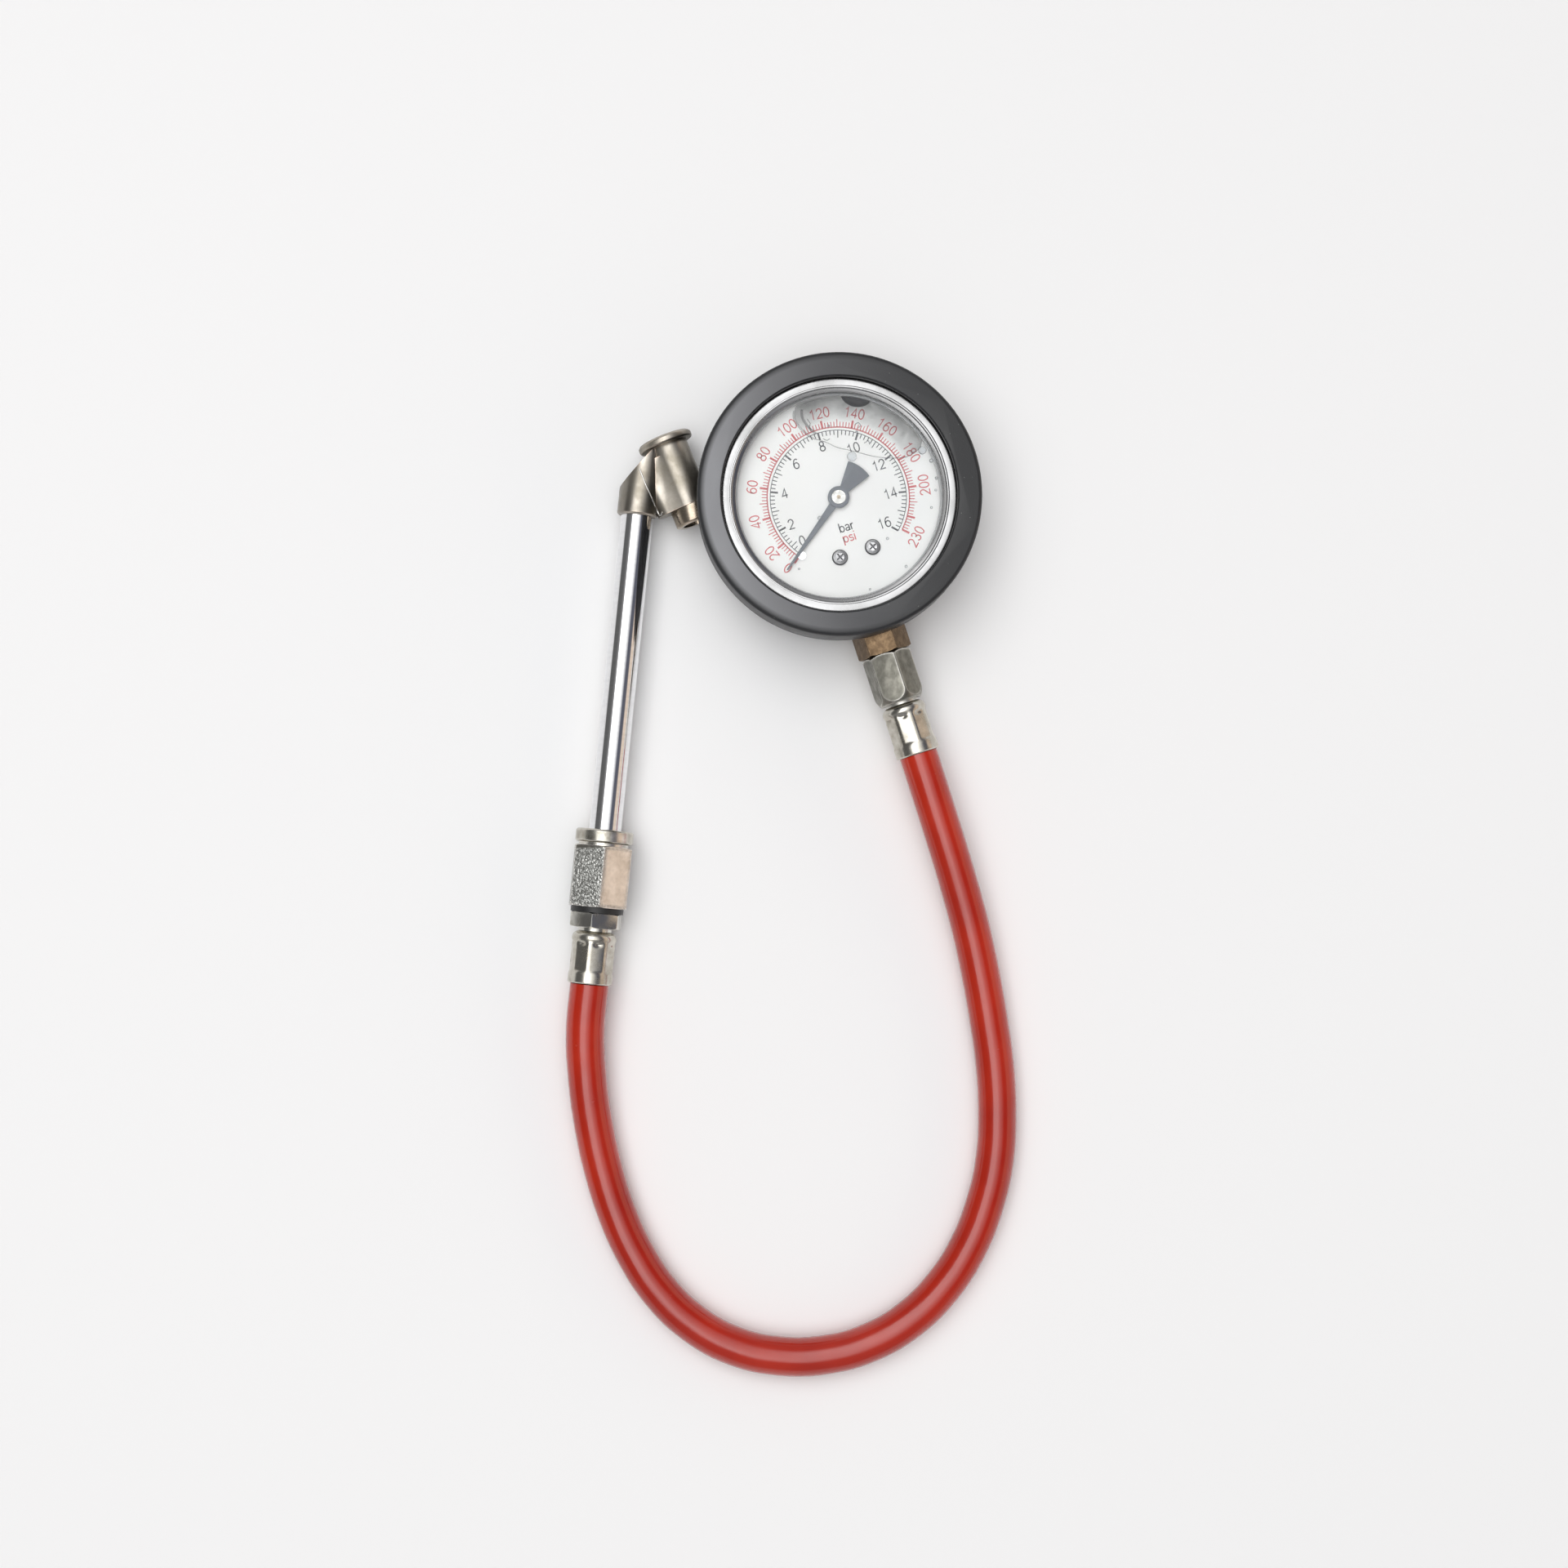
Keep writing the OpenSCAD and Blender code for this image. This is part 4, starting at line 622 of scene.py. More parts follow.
def add_arc(bm, radius, width, start, end):
    """A printed arc, drawn by turning a short line round the dial's centre."""
    ends = [bm.verts.new(mm(r, 0, 0)) for r in (radius - width / 2, radius + width / 2)]
    line = bm.edges.new(ends)
    bmesh.ops.rotate(bm, verts=ends, cent=(0, 0, 0), matrix=Matrix.Rotation(start, 3, "Z"))
    bmesh.ops.spin(
        bm, geom=[*ends, line], cent=(0, 0, 0), axis=(0, 0, 1), angle=end - start, steps=120
    )


LETTER_STROKE = 0.34
SMALL_LETTER = 0.67

# plain upright lettering: for each sign its width and its strokes, for letters one unit high
SIGNS = {
    "0": (0.70, [bow(0.30, 0.50, 0.25, 0.47, 90, 450, 32)]),
    "1": (0.70, [[(0.12, 0.74), (0.27, 0.80), (0.36, 0.97), (0.36, 0.0)]]),
    "2": (0.70, [[*bow(0.30, 0.70, 0.24, 0.27, 172, -38), (0.05, 0.04), (0.57, 0.04)]]),
    "3": (0.70, [
        [*bow(0.29, 0.74, 0.20, 0.23, 155, -90), *bow(0.29, 0.275, 0.25, 0.245, 90, -158)],
    ]),
    "4": (0.70, [[(0.43, 0.0), (0.43, 0.94), (0.05, 0.27), (0.59, 0.27)]]),
    "6": (0.70, [bow(0.31, 0.32, 0.24, 0.29, 0, 360, 28), bow(0.37, 0.42, 0.30, 0.55, 190, 58)]),
    "8": (0.70, [
        bow(0.30, 0.74, 0.20, 0.23, 0, 360, 26), bow(0.30, 0.275, 0.245, 0.25, 0, 360, 28),
    ]),
    "b": (0.64, [[(0.06, 0.0), (0.06, 1.0)], bow(0.30, 0.335, 0.23, 0.30, 0, 360, 26)]),
    "a": (0.60, [
        [*bow(0.26, 0.49, 0.19, 0.16, 165, 0), (0.45, 0.0)],
        [(0.45, 0.37), (0.27, 0.34), *bow(0.23, 0.185, 0.17, 0.15, 90, 300), (0.45, 0.17)],
    ]),
    "r": (0.42, [[(0.06, 0.0), (0.06, 0.67)], bow(0.27, 0.40, 0.21, 0.24, 180, 75, 8)]),
    "p": (0.64, [[(0.06, -0.28), (0.06, 0.67)], bow(0.30, 0.335, 0.23, 0.30, 0, 360, 26)]),
    "s": (0.56, [
        [*bow(0.25, 0.49, 0.18, 0.145, 28, 260), *bow(0.25, 0.19, 0.20, 0.155, 80, -155)],
    ]),
    "i": (0.24, [[(0.08, 0.0), (0.08, 0.67)], [(0.08, 0.86), (0.08, 0.98)]]),
}


def add_line(bm, points, width):
    """A printed line of even width through points. It closes where it ends on its start."""
    loop = (points[0] - points[-1]).length < 0.000001
    points = points[:-1] if loop else points
    count = len(points)
    sides = []
    for index, point in enumerate(points):
        back = points[index - 1] if loop or index else None
        ahead = points[(index + 1) % count] if loop or index < count - 1 else None
        first = ((point - back) if back else (ahead - point)).normalized()
        second = (ahead - point).normalized() if ahead else first
        aside = Vector((-(first + second).y, (first + second).x, 0)).normalized()
        reach = width / 2 / max(0.45, aside.dot(Vector((-second.y, second.x, 0))))
        sides.append((bm.verts.new(point + aside * reach), bm.verts.new(point - aside * reach)))
    following = sides[1:] + sides[:1] if loop else sides[1:]
    for (left, right), (next_left, next_right) in zip(sides, following):
        bm.faces.new((left, right, next_right, next_left))


def add_words(bm, words, height, place, turn=0.0):
    """Printed letters of a height in millimetres, centred on a place of the dial."""
    wide = sum(SIGNS[sign][0] for sign in words) - 0.10
    lie = Matrix.Translation(place) @ Matrix.Rotation(turn, 4, "Z")
    tall = SMALL_LETTER if words == "psi" else 1.0
    at = -wide / 2
    for sign in words:
        for line in SIGNS[sign][1]:
            points = [lie @ mm((at + x) * height, (y - tall / 2) * height, 0) for x, y in line]
            add_line(bm, points, LETTER_STROKE / 1000)
        at += SIGNS[sign][0]


def on_dial(turn, radius):
    """A place on the dial."""
    return Matrix.Rotation(turn, 4, "Z") @ mm(radius, 0, 0)


def print_on_dial(name, bm, finish):
    """Gives flat print its thickness and lays it on the dial."""
    thicken(bm)
    lie = Matrix.Rotation(PRINT_TURN, 4, "Z") @ Matrix.Translation(mm(0, 0, DIAL_TOP))
    bmesh.ops.transform(bm, verts=bm.verts, matrix=lie)
    shown(written(bm, name), finish)


def scale_turn(clockwise):
    """Direction on the dial, from an angle clockwise from the stem."""
    return math.radians(-90 - clockwise)


# degrees clockwise from the stem, and degrees for each unit of pressure
SCALE_START, ZERO_MARK = 44, 51.2
PSI_ZERO, BAR_ZERO = 53, 57.5
PSI_STEP, BAR_STEP = 1.173, 17.01

# the numbers' distances from the centre; the bar scale's 0, one digit and two digits differ
PSI_NUMBERS_R = 25.3
BAR_NUMBERS_R = (16.4, 15.8, 15.2)


def psi_turn(value):
    """Direction of a mark of the psi scale."""
    return scale_turn(SCALE_START + PSI_STEP * value if value else ZERO_MARK)


def bar_turn(value):
    """Direction of a mark of the bar scale."""
    return scale_turn(SCALE_START + BAR_STEP * value if value else ZERO_MARK)


red_print = bmesh.new()
psi_arc = 20.75
add_arc(red_print, psi_arc, 0.34, psi_turn(230), psi_turn(0))
for value in [0, *range(10, 232, 2)]:
    numbered = value % 20 == 0 or value == 230
    reach = 2.3 if numbered or value % 10 == 0 else 1.55
    add_stroke(red_print, psi_turn(value), psi_arc, psi_arc + reach, 0.60 if numbered else 0.26)
for value in [*range(0, 201, 20), 230]:
    turn = psi_turn(value) if value else scale_turn(PSI_ZERO)
    upright = turn - math.radians(90) if value < 190 else turn + math.radians(90)
    add_words(red_print, str(value), 3.0, on_dial(turn, PSI_NUMBERS_R), upright)
add_words(red_print, "psi", 2.8, mm(-0.5, -12.2, 0))
red_ink = ink("red_ink", (0.58, 0.12, 0.13), (0.66, 0.21, 0.22))

black_print = bmesh.new()
bar_arc = 19.85
add_arc(black_print, bar_arc, 0.2, bar_turn(16), bar_turn(0))
for step in range(4, 81):
    whole = step % 10 == 0
    reach = 2.2 if step % 5 == 0 else 1.35
    add_stroke(black_print, bar_turn(step / 5), bar_arc, bar_arc - reach, 0.54 if whole else 0.27)
for value in range(0, 17, 2):
    radius = BAR_NUMBERS_R[(value > 0) + (value > 9)]
    place = on_dial(bar_turn(value) if value else scale_turn(BAR_ZERO), radius)
    add_words(black_print, str(value), 2.95, place)
add_words(black_print, "bar", 2.75, mm(-0.4, -8.6, 0))
black_ink = ink("black_ink", (0.07, 0.072, 0.078), (0.14, 0.14, 0.15))

print_on_dial("dial_psi_print", red_print, red_ink)
print_on_dial("dial_bar_print", black_print, black_ink)

# ---- Dial screws ---------------------------------------------
# Two zinc-plated cross-recessed pan screws hold the dial to the bosses of the socket block. Their
# crowns keep the plating's colour; the rims and the recesses below are painted dark as painted
# shade.

dial_screw_zinc = metal(
    "dial_screw_zinc", (0.40, 0.40, 0.41), (0.30, 0.30, 0.31), 0.30, 0.48, 900, 6000, 0.000004, 0.3
)


def reopened(finish):
    """A finish's node tree, its shader and the colour that it has so far."""
    tree = finish.node_tree
    shader = tree.nodes["Principled BSDF"]
    return tree, shader, shader.inputs["Base Color"].links[0].from_socket


def axis(tree, direction, name):
    """One part of a place or direction."""
    return node(tree, "SeparateXYZ", {"Vector": direction}).outputs[name]


tree, shader, plated = reopened(dial_screw_zinc)
CROWN_FROM, CROWN_TO = 0.02560, 0.02590
# near black below the crown's height: painted shade in the rims and the recesses
crown = span(tree, axis(tree, coordinate(tree), "Z"), CROWN_FROM, CROWN_TO)
wire(tree, shader.inputs, Base_Color=tint(tree, crown, rgb(0.07, 0.07, 0.075), plated))
dress(dial_screw_zinc, "dial_screws")

# ---- Pointer -------------------------------------------------
# Blanked from thin sheet and painted black, with a raised ring round its riveted hub, a
# fan-shaped tail that balances it, and a turned bare metal hub in the middle. Its blue-grey colour
# is a painted reflection of glare over the black paint.

# light blue-grey instead of black: a painted reflection of glare on the pointer
paint_and_painted_glare, tree, shader = material("pointer_paint_and_glare", IOR=1.5)
fleck = noise(tree, coordinate(tree), 2600.0, 3.0)
wire(
    tree, shader.inputs,
    Base_Color=tint(
        tree, span(tree, fleck, 0.35, 0.7), rgb(0.16, 0.175, 0.20), rgb(0.21, 0.225, 0.25)
    ),
    Roughness=span(tree, fleck, 0.3, 0.7, 0.42, 0.58),
    Normal=bump(tree, fleck, 0.000006),
)
eased("pointer_blade", "pointer", 0.08, paint_and_painted_glare, body="pointer_set")
hub_metal = metal(
    "hub_metal", (0.40, 0.40, 0.39), (0.30, 0.295, 0.28), 0.25, 0.42, 700, 7000, 0.000003
)
dress(hub_metal, "pointer_hub")

# ---- Lens ----------------------------------------------------
# Clear polycarbonate disc, clamped on its gasket by the bezel.


def let_pass(tree, shader, rays, colour):
    """Lets the given rays pass straight through a glass, a little tinted."""
    see_through = node(tree, "BsdfTransparent", {"Color": rgb(*colour)}).outputs[0]
    both = node(tree, "MixShader", {0: rays, 1: shader.outputs[0], 2: see_through}).outputs[0]
    feed(tree, tree.nodes["Material Output"].inputs["Surface"], both)


clear, tree, shader = material(
    "clear_polycarbonate", Base_Color=rgb(0.985, 0.99, 0.99), Roughness=0.02, IOR=1.2,
    Transmission_Weight=1.0,
)
rays = node(tree, "LightPath").outputs
passing = calc(tree, "MAXIMUM", rays["Is Shadow Ray"], rays["Is Diffuse Ray"])
let_pass(tree, shader, passing, (0.97, 0.975, 0.975))
dress(clear, "window_lens")

# ---- Air bubble ----------------------------------------------
# The case is filled with clear liquid up to an air bubble at its top. The bubble shows as a thin
# curved line with a broader pale band on its left, a grey zone of painted shade under the rim, and
# small bubbles.

LIQUID_Z = 27.35
SHADE_R = 29.3
liquid, tree, shader = material(
    "liquid_edge", Base_Color=rgb(0.80, 0.82, 0.84), Roughness=0.0, IOR=1.28,
    Transmission_Weight=1.0,
)
let_pass(tree, shader, node(tree, "LightPath").outputs["Is Shadow Ray"], (0.93, 0.935, 0.94))


def veil(name, colour, low, high):
    """A thin see-through film that is denser in places."""
    made, tree, shader = material(
        name, Base_Color=rgb(*colour), Roughness=0.6, Specular_IOR_Level=0.0
    )
    dense = span(tree, noise(tree, coordinate(tree), 300.0), 0.35, 0.65, low, high)
    wire(tree, shader.inputs, Alpha=dense)
    return made


edge_grey = veil("liquid_line", (0.09, 0.095, 0.10), 0.24, 0.42)
pale_band = veil("liquid_band", (0.20, 0.205, 0.21), 0.10, 0.18)

bubble_left = [
    (-12.9, 25.0), (-12.9, 23.0), (-12.1, 21.2), (-10.4, 19.2), (-8.8, 17.9), (-7.3, 16.8),
]
bubble_low = [
    (-7.3, 16.8), (-5.5, 16.4), (-3.6, 15.8), (-0.3, 14.3), (4.2, 13.3), (8.7, 12.1),
    (12.0, 11.5), (16.0, 11.3), (19.4, 11.6), (22.2, 13.0), (24.0, 14.8),
]


def through(points, steps=6):
    """More points along a smooth curve through the given ones."""
    ends = [points[0], *points, points[-1]]
    made = []
    for p0, p1, p2, p3 in zip(ends, ends[1:], ends[2:], ends[3:]):
        for k in range(steps):
            t = k / steps
            made.append(tuple(
                b + 0.5 * t * (c - a)
                + 0.5 * t ** 2 * (2 * a - 5 * b + 4 * c - d)
                + 0.5 * t ** 3 * (3 * b - a - 3 * c + d)
                for a, b, c, d in zip(p0, p1, p2, p3)
            ))
    return [*made, points[-1]]


def liquid_mark(name, lines, width, finish, height=LIQUID_Z):
    """Thin flat marks on the liquid's surface, along lines of points in millimetres."""
    bm = bmesh.new()
    for line in lines:
        add_line(bm, [mm(x, y, height) for x, y in line], width / 1000)
    thicken(bm)
    shown(written(bm, name), finish)


def beside(points, x, y):
    """The same points, moved aside."""
    return [(px + x, py + y) for px, py in points]


# small bubbles, each with its place and radius
small = [
    (3.8, 11.7, 1.35), (24.3, 13.6, 1.1), (26.9, 10.6, 0.5), (-5.6, -6.3, 0.55),
    (14.1, -12.2, 0.35), (-11.6, -21.1, 0.25), (26.9, -3.1, 0.3), (9.0, -27.0, 0.25),
    (19.5, -20.3, 0.35), (28.2, 2.0, 0.3), (5.2, 18.9, 0.3), (-3.0, 20.6, 0.3),
    (28.4, 5.5, 0.4),
]
liquid_mark("bubble_line", [through(bubble_low)], 0.20, edge_grey)
rings = [bow(x, y, r, r, 0, 360, 28) for x, y, r in small]
liquid_mark("bubble_rings", rings, 0.17, edge_grey)
liquid_mark("bubble_curls", [
    through([(-9.2, 22.6), (-8.3, 21.3), (-8.6, 20.0), (-7.2, 19.2)]),
    through([(4.6, 20.9), (5.6, 21.6), (6.3, 20.8), (5.7, 20.1)]),
    through([(7.4, 15.6), (8.6, 16.3), (9.0, 15.2)]),
    through([(-4.6, 16.9), (-3.5, 16.4), (-2.6, 16.9)]),
], 0.20, edge_grey)
band_edge = through(beside(bubble_left, -0.35, -0.1))
band_inner = through(beside(bubble_left[:-1], 2.2, 0.4))
liquid_mark("bubble_band", [through(bubble_left)], 0.55, pale_band)
liquid_mark("bubble_band_edge", [band_edge], 0.14, edge_grey, LIQUID_Z + 0.04)
liquid_mark("bubble_band_inner", [band_inner], 0.75, pale_band)

bubbles = bmesh.new()
for x, y, radius in small:
    bmesh.ops.create_uvsphere(
        bubbles, u_segments=24, v_segments=14, radius=radius / 1000,
        matrix=Matrix.Translation(mm(x, y, LIQUID_Z)) @ Matrix.Diagonal((1, 1, 0.42, 1)),
    )
for face in bubbles.faces:
    face.smooth = True
shown(written(bubbles, "small_bubbles"), liquid)


def from_axis(tree, where):
    """A point's distance from the gauge's axis, in metres."""
    sockets = {0: where, 1: (1.0, 1.0, 0.0)}
    flat = node(tree, "VectorMath", sockets, operation="MULTIPLY").outputs["Vector"]
    return node(tree, "VectorMath", {0: flat}, operation="LENGTH").outputs["Value"]


# a dark see-through sheet, denser towards the rim: painted shade under the bubble
painted_bubble_shade, tree, shader = material(
    "bubble_shade", Base_Color=rgb(0.09, 0.093, 0.10), Roughness=0.6, Specular_IOR_Level=0.0
)
where = coordinate(tree)
near_rim = span(tree, from_axis(tree, where), 0.0215, 0.0298)
cloudy = span(tree, noise(tree, where, 260.0, 5.0, Distortion=0.6), 0.3, 0.75, 0.55, 1.25)
dark = calc(tree, "MULTIPLY", near_rim, cloudy, clamp=True)
wire(tree, shader.inputs, Alpha=span(tree, dark, 0.0, 1.0, 0.0, 0.36))
shade = bmesh.new()
outline = [*bubble_left[:-1], *bubble_low, *bow(0, 0, SHADE_R, SHADE_R, 34, 115, 27)]
shade.faces.new([shade.verts.new(mm(x, y, LIQUID_Z - 0.5)) for x, y in outline])
thicken(shade)
shown(written(shade, "bubble_shade"), painted_bubble_shade)

# ---- Bezel ---------------------------------------------------
# Rolled stainless ring: a broad soft face under the boot's lip, a crest, and a slope that runs
# down to the lens.

TURNED_CORNER, TURNED_STEPS = 28, 3
bezel_steel = metal(
    "bezel_steel", (0.44, 0.44, 0.445), (0.37, 0.37, 0.37), 0.20, 0.36, 90, 2500, 0.000002, 0.2
)


def turned(name, outline, steps=128, place=None, width=0.0):
    """A mesh turned about Z from an outline of radius and height, its sharp rings rounded."""
    bm = bmesh.new()
    points = [bm.verts.new(mm(radius, 0, height)) for radius, height in outline]
    lines = [bm.edges.new(pair) for pair in zip(points, points[1:] + points[:1])]
    bmesh.ops.spin(
        bm, geom=points + lines, cent=(0, 0, 0), axis=(0, 0, 1), angle=math.radians(360),
        steps=steps, use_merge=True,
    )
    bmesh.ops.remove_doubles(bm, verts=bm.verts, dist=0.0000005)
    loose = [edge for edge in bm.edges if not edge.link_faces]
    bmesh.ops.delete(bm, geom=loose, context="EDGES")
    bmesh.ops.recalc_face_normals(bm, faces=bm.faces)
    if width:
        round_edges(bm, width, TURNED_CORNER, TURNED_STEPS)
    if place:
        bmesh.ops.transform(bm, verts=bm.verts, matrix=place)
    return written(bm, name, TURNED_CORNER)


bezel = turned("bezel_rolled", [
    (31.25, 25.45), (35.0, 25.45), (35.0, 30.0), (34.88, 30.61), (34.53, 31.13),
    (34.01, 31.48), (33.4, 31.6), (31.9, 31.43), (31.62, 31.56), (31.3, 31.52),
    (31.05, 31.24), (30.0, 30.95), (30.0, 30.5), (34.25, 30.5), (34.25, 26.2), (31.25, 26.2),
], 180, width=0.12)
shown(bezel, bezel_steel, source="bezel_ring")

# pale plastic ring that lines the case under the lens's edge
spacer_plastic, tree, shader = material("spacer_plastic", IOR=1.48)
cloud = noise(tree, coordinate(tree), 120.0, 3.0)
wire(
    tree, shader.inputs,
    Base_Color=tint(
        tree, span(tree, cloud, 0.35, 0.65), rgb(0.40, 0.41, 0.42), rgb(0.50, 0.505, 0.51)
    ),
    Roughness=span(tree, cloud, 0.3, 0.7, 0.30, 0.42),
)
section = [(29.45, 26.62), (30.34, 26.62), (30.34, 27.95), (29.45, 27.95)]
shown(turned("lens_spacer", section, 160, width=0.1), spacer_plastic)

# ---- Blow-out plug -------------------------------------------
# Soft dark grey rubber plug in the case's side that vents it. Its flange shows over the dial.

plug_rubber = rubber("plug_rubber", (0.06, 0.06, 0.065), (0.12, 0.12, 0.13))
plug_centre = Matrix.Rotation(PLUG_TURN, 4, "Z") @ Matrix.Translation(mm(0, 0, 22.1))
seat = 30.03
plug = turned("blowout_plug_domed", [
    (0, seat - 2.1), (1.2, seat - 2.1), (2.3, seat - 1.98), (3.2, seat - 1.6),
    (3.95, seat - 1.0), (4.32, seat - 0.4), (4.4, seat), (2.6, seat), (2.6, 31.27),
    (3.2, 31.27), (3.2, 32.1), (2.9, 32.4), (0, 32.4),
], 72, plug_centre @ Matrix.Rotation(math.radians(90), 4, "Y"))
shown(plug, plug_rubber, source="blowout_plug")

# ---- Boot ----------------------------------------------------
# Moulded black rubber cup that grips the case and the bezel. It is satin, and a painted
# reflection makes its flat top paler towards the left.

TOP_EDGE, TOP_INSIDE = 0.0402, 0.0388
boot_rubber = rubber(
    "boot_rubber", (0.011, 0.0115, 0.013), (0.020, 0.021, 0.024), 3600.0, 0.00003
)
tree, shader, clean_colour = reopened(boot_rubber)
where = coordinate(tree)
# its flat top is painted paler towards the left: a painted reflection
across = dot(tree, where, (-0.99, -0.14, 0.0))
painted_reflection_leftward = calc(tree, "POWER", span(tree, across, -0.040, 0.035), 2.3)
on_top = span(tree, axis(tree, coordinate(tree, "Normal"), "Z"), 0.93, 0.995)
inside_edge = span(tree, from_axis(tree, where), TOP_EDGE, TOP_INSIDE)
painted_reflection_on_top = calc(tree, "MULTIPLY", calc(tree, "MULTIPLY", painted_reflection_leftward, on_top), inside_edge)
wire(tree, shader.inputs, Base_Color=tint(tree, painted_reflection_on_top, clean_colour, rgb(0.25, 0.254, 0.268)))
eased("boot_moulded", "rubber_boot", 0.35, boot_rubber, corner=24, steps=3)

# ---- Swivel nut ----------------------------------------------
# Nickel-plated brass union nut, hexagonal; its edges are tinted near white, partly wear and partly
# a painted highlight.

# full share of a near-white edge tint: a painted highlight on the nut's edges, as well as wear
nickel = metal(
    "nickel_plate", (0.245, 0.237, 0.205), (0.165, 0.16, 0.137), 0.32, 0.50, 330, 3200, 0.000006,
    1.0, turn=-STEM_TURN, stretch=(1.5, 1.0, 1.5), worn_and_highlit=(1.0, 0.98, 0.92), edge=0.0011,
)
eased("swivel_nut_plated", "swivel_nut", 0.28, nickel, corner=20)
dress(nickel, "gauge_hose_tail")

# ---- Ferrules ------------------------------------------------
# Two nickel-plated sleeves pressed on to the hose's ends. The press leaves a domed end, a plain
# rim and eight flats round each, with a small hollow at the domed end of every flat.

ferrule_nickel = metal(
    "ferrule_nickel", (0.60, 0.575, 0.515), (0.46, 0.43, 0.37), 0.18, 0.33, 300, 2600, 0.000005, 0.5
)
FERRULE = {"radius": 6.6, "length": 15.4, "dome": 2.2, "waist": 0.22, "bore": 5.82, "neck": 5.2}
FLATS = {"count": 8, "radius": 6.06, "crown": 0.28, "start": 3.2, "end": 11.7, "soft": 0.45}
HOLLOW = {"depth": 0.42, "at": 3.8, "long": 0.6, "wide": 0.17}


def soft_step(share):
    """A share held between 0 and 1, with soft ends."""
    share = max(0.0, min(1.0, share))
    return share * share * (3 - 2 * share)


def ferrule(name, source, place, turn):
    """A pressed sleeve: a turned shell whose points are moved in to the press's flats."""
    long, radius, dome = FERRULE["length"], FERRULE["radius"], FERRULE["dome"]
    bore, neck = FERRULE["bore"], FERRULE["neck"]
    outline = [(3.25, 0.0), (radius - dome, 0.0)]
    for step in range(1, 6):
        angle = math.radians(18 * step)
        outline.append((radius - dome + dome * math.sin(angle), dome - dome * math.cos(angle)))
    for ring in range(1, 43):
        at = dome + 0.3 * ring
        waist = soft_step(min((at - 2.0) / 1.2, (12.9 - at) / 1.4))
        outline.append((radius - FERRULE["waist"] * waist, at))
    outline += [(radius, long - 0.3), (radius - 0.3, long), (bore, long), (bore, 5.4)]
    outline += [(neck, 5.4), (neck, 1.5), (3.25, 1.5)]
    shell = turned(name, outline)
    bm = bmesh.new()
    bm.from_mesh(shell)
    sector = math.radians(360 / FLATS["count"])
    for vert in bm.verts:
        out = math.hypot(vert.co.x, vert.co.y) * 1000
        along = vert.co.z * 1000
        if out < 5.9 or along < 2.3:
            continue
        off = (math.atan2(vert.co.y, vert.co.x) - turn) % sector - sector / 2
        flat = FLATS["radius"] / math.cos(off)
        flat += (out - flat) * FLATS["crown"]
        away = ((along - HOLLOW["at"]) / HOLLOW["long"]) ** 2 + (off / HOLLOW["wide"]) ** 2
        flat -= HOLLOW["depth"] * math.exp(-away)
        inside = min(along - FLATS["start"], FLATS["end"] - along)
        share = soft_step((inside + FLATS["soft"]) / (2 * FLATS["soft"]))
        if flat < out:
            pull = 1 + (flat / out - 1) * share
            vert.co.x *= pull
            vert.co.y *= pull
    bmesh.ops.transform(bm, verts=bm.verts, matrix=place)
    crimped = written(bm, name, mesh=shell)
    shown(crimped, ferrule_nickel, source=source)


ferrule("gauge_ferrule_crimped", "gauge_ferrule", on_stem(62.4), math.radians(-10))
ferrule("chuck_ferrule_crimped", "chuck_ferrule", on_tube(-123.3), math.radians(8))

# ---- Fitting and inlet body ----------------------------------
# The hose's hexagon screws into the handle's hexagonal body over a thick black washer. The body's
# faces are gritty under their nickel, but for one milled face with chipped edges, painted pale as a
# painted reflection, and it ends in a turned collar round the tube. Its corners carry a painted
# highlight.

inlet_nickel = metal(
    "inlet_nickel", (0.56, 0.54, 0.48), (0.36, 0.33, 0.28), 0.14, 0.40, 300, 2600, 0.00002, 0.6,
    turn=-TUBE_LEAN, stretch=(1.6, 1.0, 1.6),
)
fitting_nickel = metal(
    "fitting_nickel", (0.68, 0.665, 0.62), (0.50, 0.485, 0.43), 0.13, 0.33, 260, 3200, 0.000005,
    0.5, turn=-TUBE_LEAN, stretch=(1.5, 1.0, 1.5),
)
eased("hose_hexagon", "chuck_hose_tail", 0.2, fitting_nickel, corner=20)
COLLAR_FROM, COLLAR_TO = -0.1020, -0.1012
CHIP_WIDTH, CORNER_HIGHLIGHT_WIDTH = 0.0024, 0.0008
tree, shader, plated = reopened(inlet_nickel)
where = coordinate(tree)
facing = dot(tree, coordinate(tree, "Normal"), (0.55, -0.05, 0.83))
ragged = noise(tree, where, 480.0, 6.0, Roughness=0.75)
chipped = calc(tree, "MULTIPLY", worn_edge(tree, CHIP_WIDTH), ragged)
kept = calc(tree, "SUBTRACT", 1.0, span(tree, chipped, 0.12, 0.20))
# the milled face is picked by the way it faces and painted pale: a painted reflection
milled_face_painted_reflection = calc(tree, "MULTIPLY", span(tree, facing, 0.93, 0.97), kept)
collar = span(tree, axis(tree, where, "Y"), COLLAR_FROM, COLLAR_TO)
rough_face = calc(tree, "SUBTRACT", 1.0, calc(tree, "MAXIMUM", milled_face_painted_reflection, collar))
grit = node(tree, "TexVoronoi", {"Vector": where, "Scale": 2000.0}).outputs["Distance"]
speckle = noise(tree, where, 1500.0, 3.0)
clouds = span(tree, noise(tree, where, 210.0, 6.0, Roughness=0.7), 0.36, 0.66)
pale = tint(tree, clouds, rgb(0.97, 0.935, 0.89), rgb(0.74, 0.69, 0.63))
speckled = span(tree, speckle, 0.44, 0.60)
gritty = tint(tree, speckled, rgb(0.24, 0.24, 0.225), rgb(0.66, 0.66, 0.63))
faces = tint(tree, rough_face, tint(tree, milled_face_painted_reflection, plated, pale), gritty)
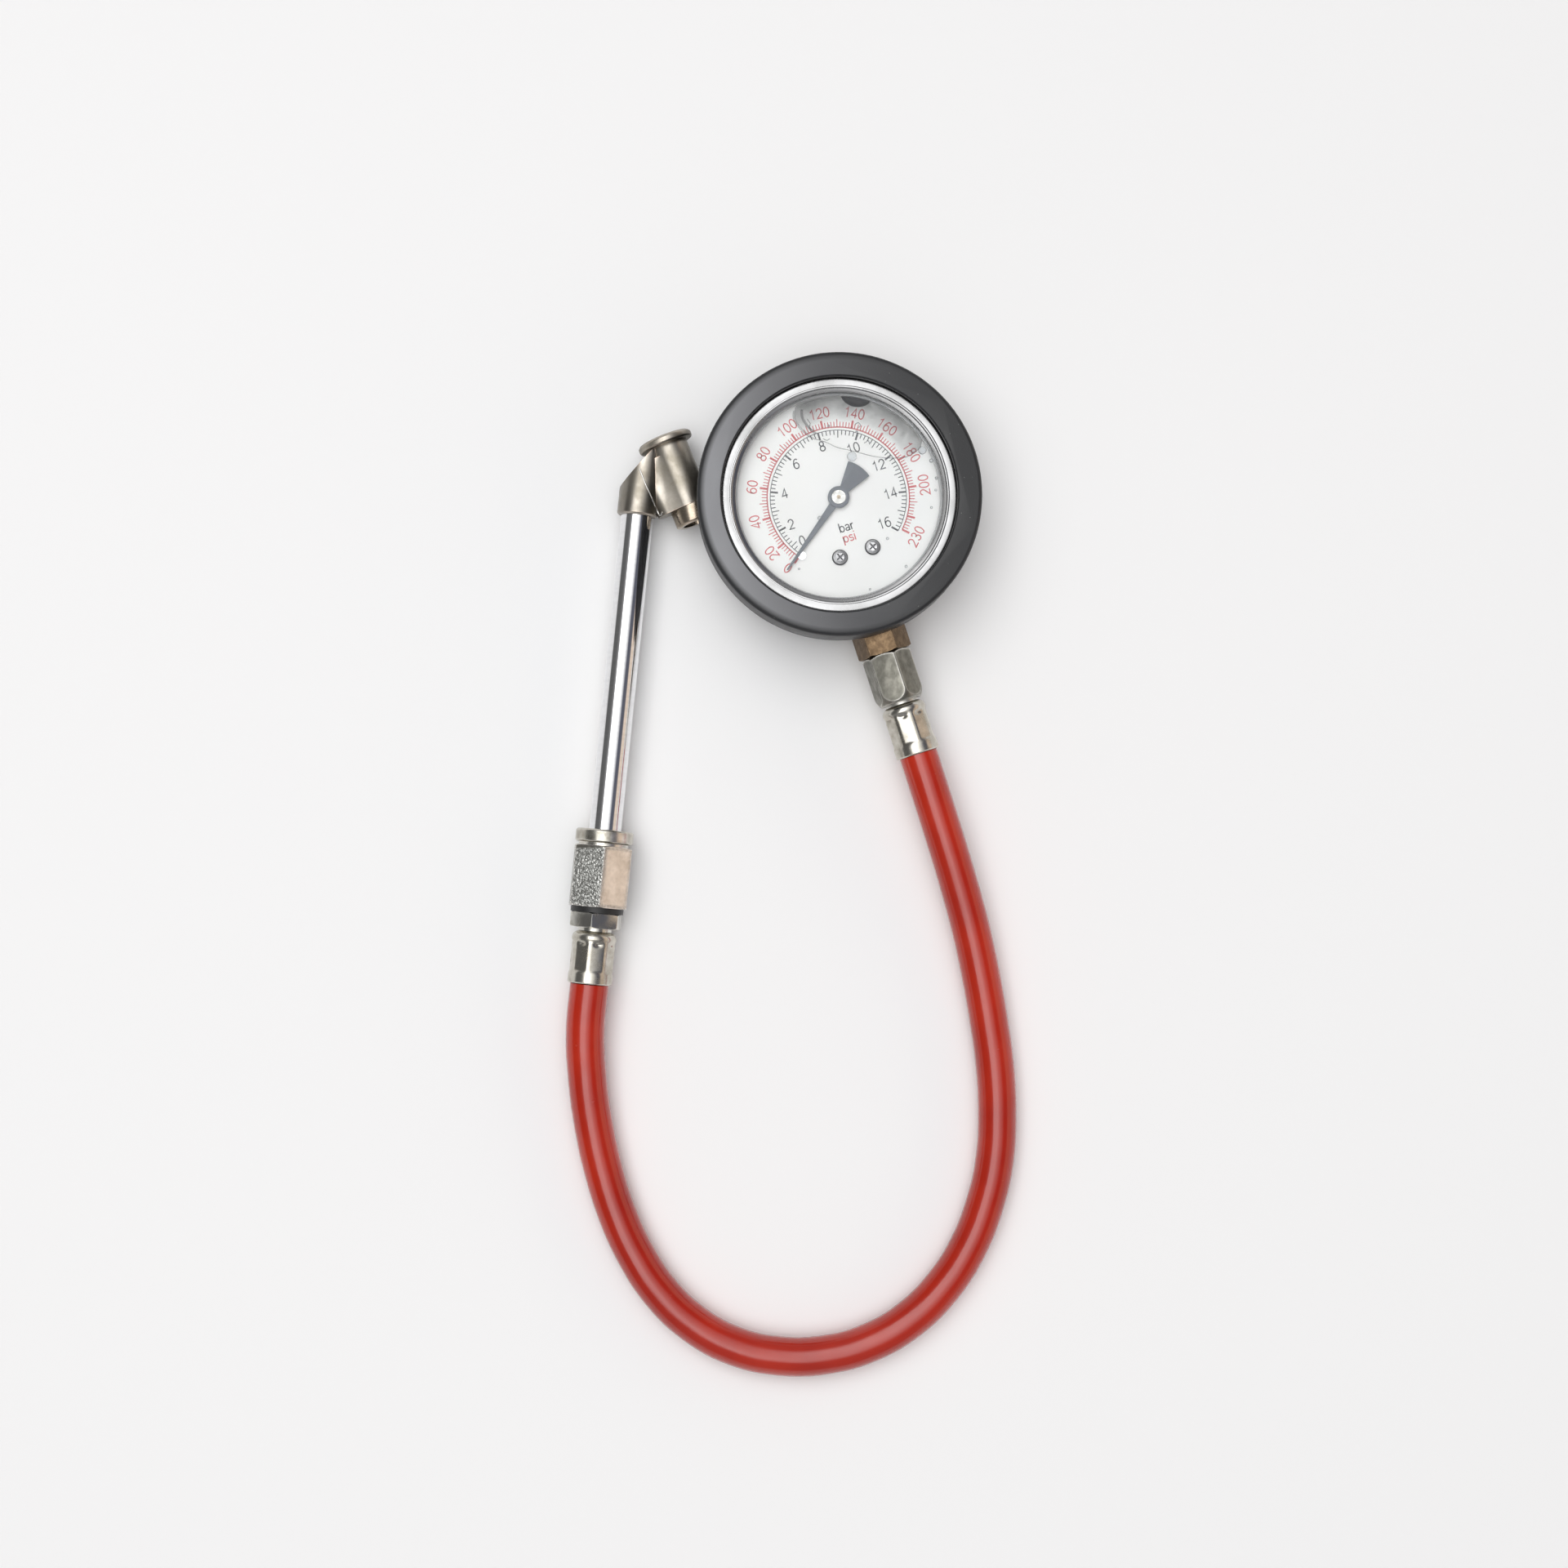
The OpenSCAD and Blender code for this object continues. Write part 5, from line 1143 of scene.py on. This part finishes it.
depth = calc(tree, "MULTIPLY", rough_face, 0.00018)
wire(
    tree, shader.inputs,
    # a near-white line along the corners: a painted highlight
    Base_Color=tint(tree, worn_edge(tree, CORNER_HIGHLIGHT_WIDTH), faces, rgb(0.97, 0.93, 0.87)),
    Roughness=span(tree, rough_face, 0.0, 1.0, 0.26, 0.34),
    Normal=bump(tree, calc(tree, "ADD", grit, speckle), depth),
)
eased("inlet_body_plated", "inlet_body", 0.22, inlet_nickel, corner=20)

# ---- Tube ----------------------------------------------------
# Bright chromed steel tube, brazed into the body and into the head.

tube_chrome = metal(
    "tube_chrome", (0.86, 0.86, 0.87), (0.80, 0.80, 0.81), 0.05, 0.14, 150, 2200, 0.0000015, 0.2,
    turn=-TUBE_LEAN, stretch=(1.0, 6.0, 1.0),
)
dress(tube_chrome, "chuck_tube")

# ---- Head and feet -------------------------------------------
# Die-cast head in warm satin nickel, darkened on its sides by painted shade: a slanted collar on
# the tube and a barrel for the two screwed-in mouths, a broad-flanged one in front and a thinly
# plated one behind.

head_nickel = metal(
    "head_nickel", (0.53, 0.49, 0.43), (0.38, 0.345, 0.285), 0.30, 0.50, 150, 2600, 0.000008, 0.75,
    turn=-TUBE_LEAN, worn_and_highlit=(0.92, 0.70, 0.56), edge=0.0006,
)
foot_brass = metal(
    "foot_brass", (0.52, 0.44, 0.35), (0.36, 0.30, 0.23), 0.18, 0.36, 260, 3000, 0.000005, 0.5
)
SHOULDER_FROM, SHOULDER_TO = 0.0125, 0.0095
tree, shader, plated = reopened(head_nickel)
# faces turned towards the boot, the collar's outer side and faces turned away from the top are
# painted darker: painted shade
facing = node(tree, "SeparateXYZ", {"Vector": coordinate(tree, "Normal")}).outputs
inward = span(tree, facing["X"], 0.30, 0.75, 0.0, 0.85)
on_collar = span(tree, axis(tree, coordinate(tree), "Y"), SHOULDER_FROM, SHOULDER_TO)
outward = calc(tree, "MULTIPLY", span(tree, facing["X"], -0.25, -0.60, 0.0, 0.75), on_collar)
painted_side_shade = calc(tree, "MAXIMUM", inward, outward)
dull_or_shade_mask = calc(tree, "MAXIMUM", span(tree, facing["Z"], 0.80, 0.30, 0.0, 0.70), painted_side_shade)
wire(tree, shader.inputs, Base_Color=tint(tree, dull_or_shade_mask, plated, rgb(0.20, 0.185, 0.16)))
eased("head_cast", "chuck_head", 0.3, head_nickel)

# the casting's parting line, a thin ridge from the collar's shoulder on to the barrel, coloured
# near white as a painted highlight
parting_route = [
    (-58.01, 9.8, 15.45), (-57.05, 7.4, 15.44), (-56.1, 5.0, 15.18), (-54.9, 2.5, 14.5),
    (-53.83, 0, 13.34), (-52.9, -1.9, 11.6), (-51.95, -3.4, 11.8), (-51.3, -2.6, 12.75),
]
parting_points = [mm(*point) for point in parting_route]
parting_line = round_line("head_parting_line", parting_points, 0.22, 3)
parting_line.use_fill_caps = True
# near-white metal: a painted highlight along the ridge
parting_line_highlight = metal(
    "parting_line_highlight", (0.96, 0.95, 0.92), (0.85, 0.83, 0.79), 0.2, 0.4, 600, 4000, 0.000003, 0.2
)
shown(parting_line, parting_line_highlight)
eased("front_foot_flange", "front_foot", 0.18, head_nickel)
eased("rear_foot_mouth", "rear_foot", 0.18, foot_brass)
dress(movement_brass, "front_plunger", "rear_plunger")

# the spring is cut into a front half and a rear half
spring_low, spring_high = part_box("plunger_spring")
spring_middle = (Vector(spring_low) + Vector(spring_high)) / 2
feet_line = Vector((-0.371368, 0.928486, 0))
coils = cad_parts["plunger_spring"].data.vertices
reach = max((vert.co - spring_middle).dot(feet_line) for vert in coils)
for name, ahead, pin in (
    ("spring_front_half", feet_line, "front_pin"), ("spring_rear_half", -feet_line, "rear_pin"),
):
    half = length_of(name, "plunger_spring", spring_middle, ahead, spring_steel)
    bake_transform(half)
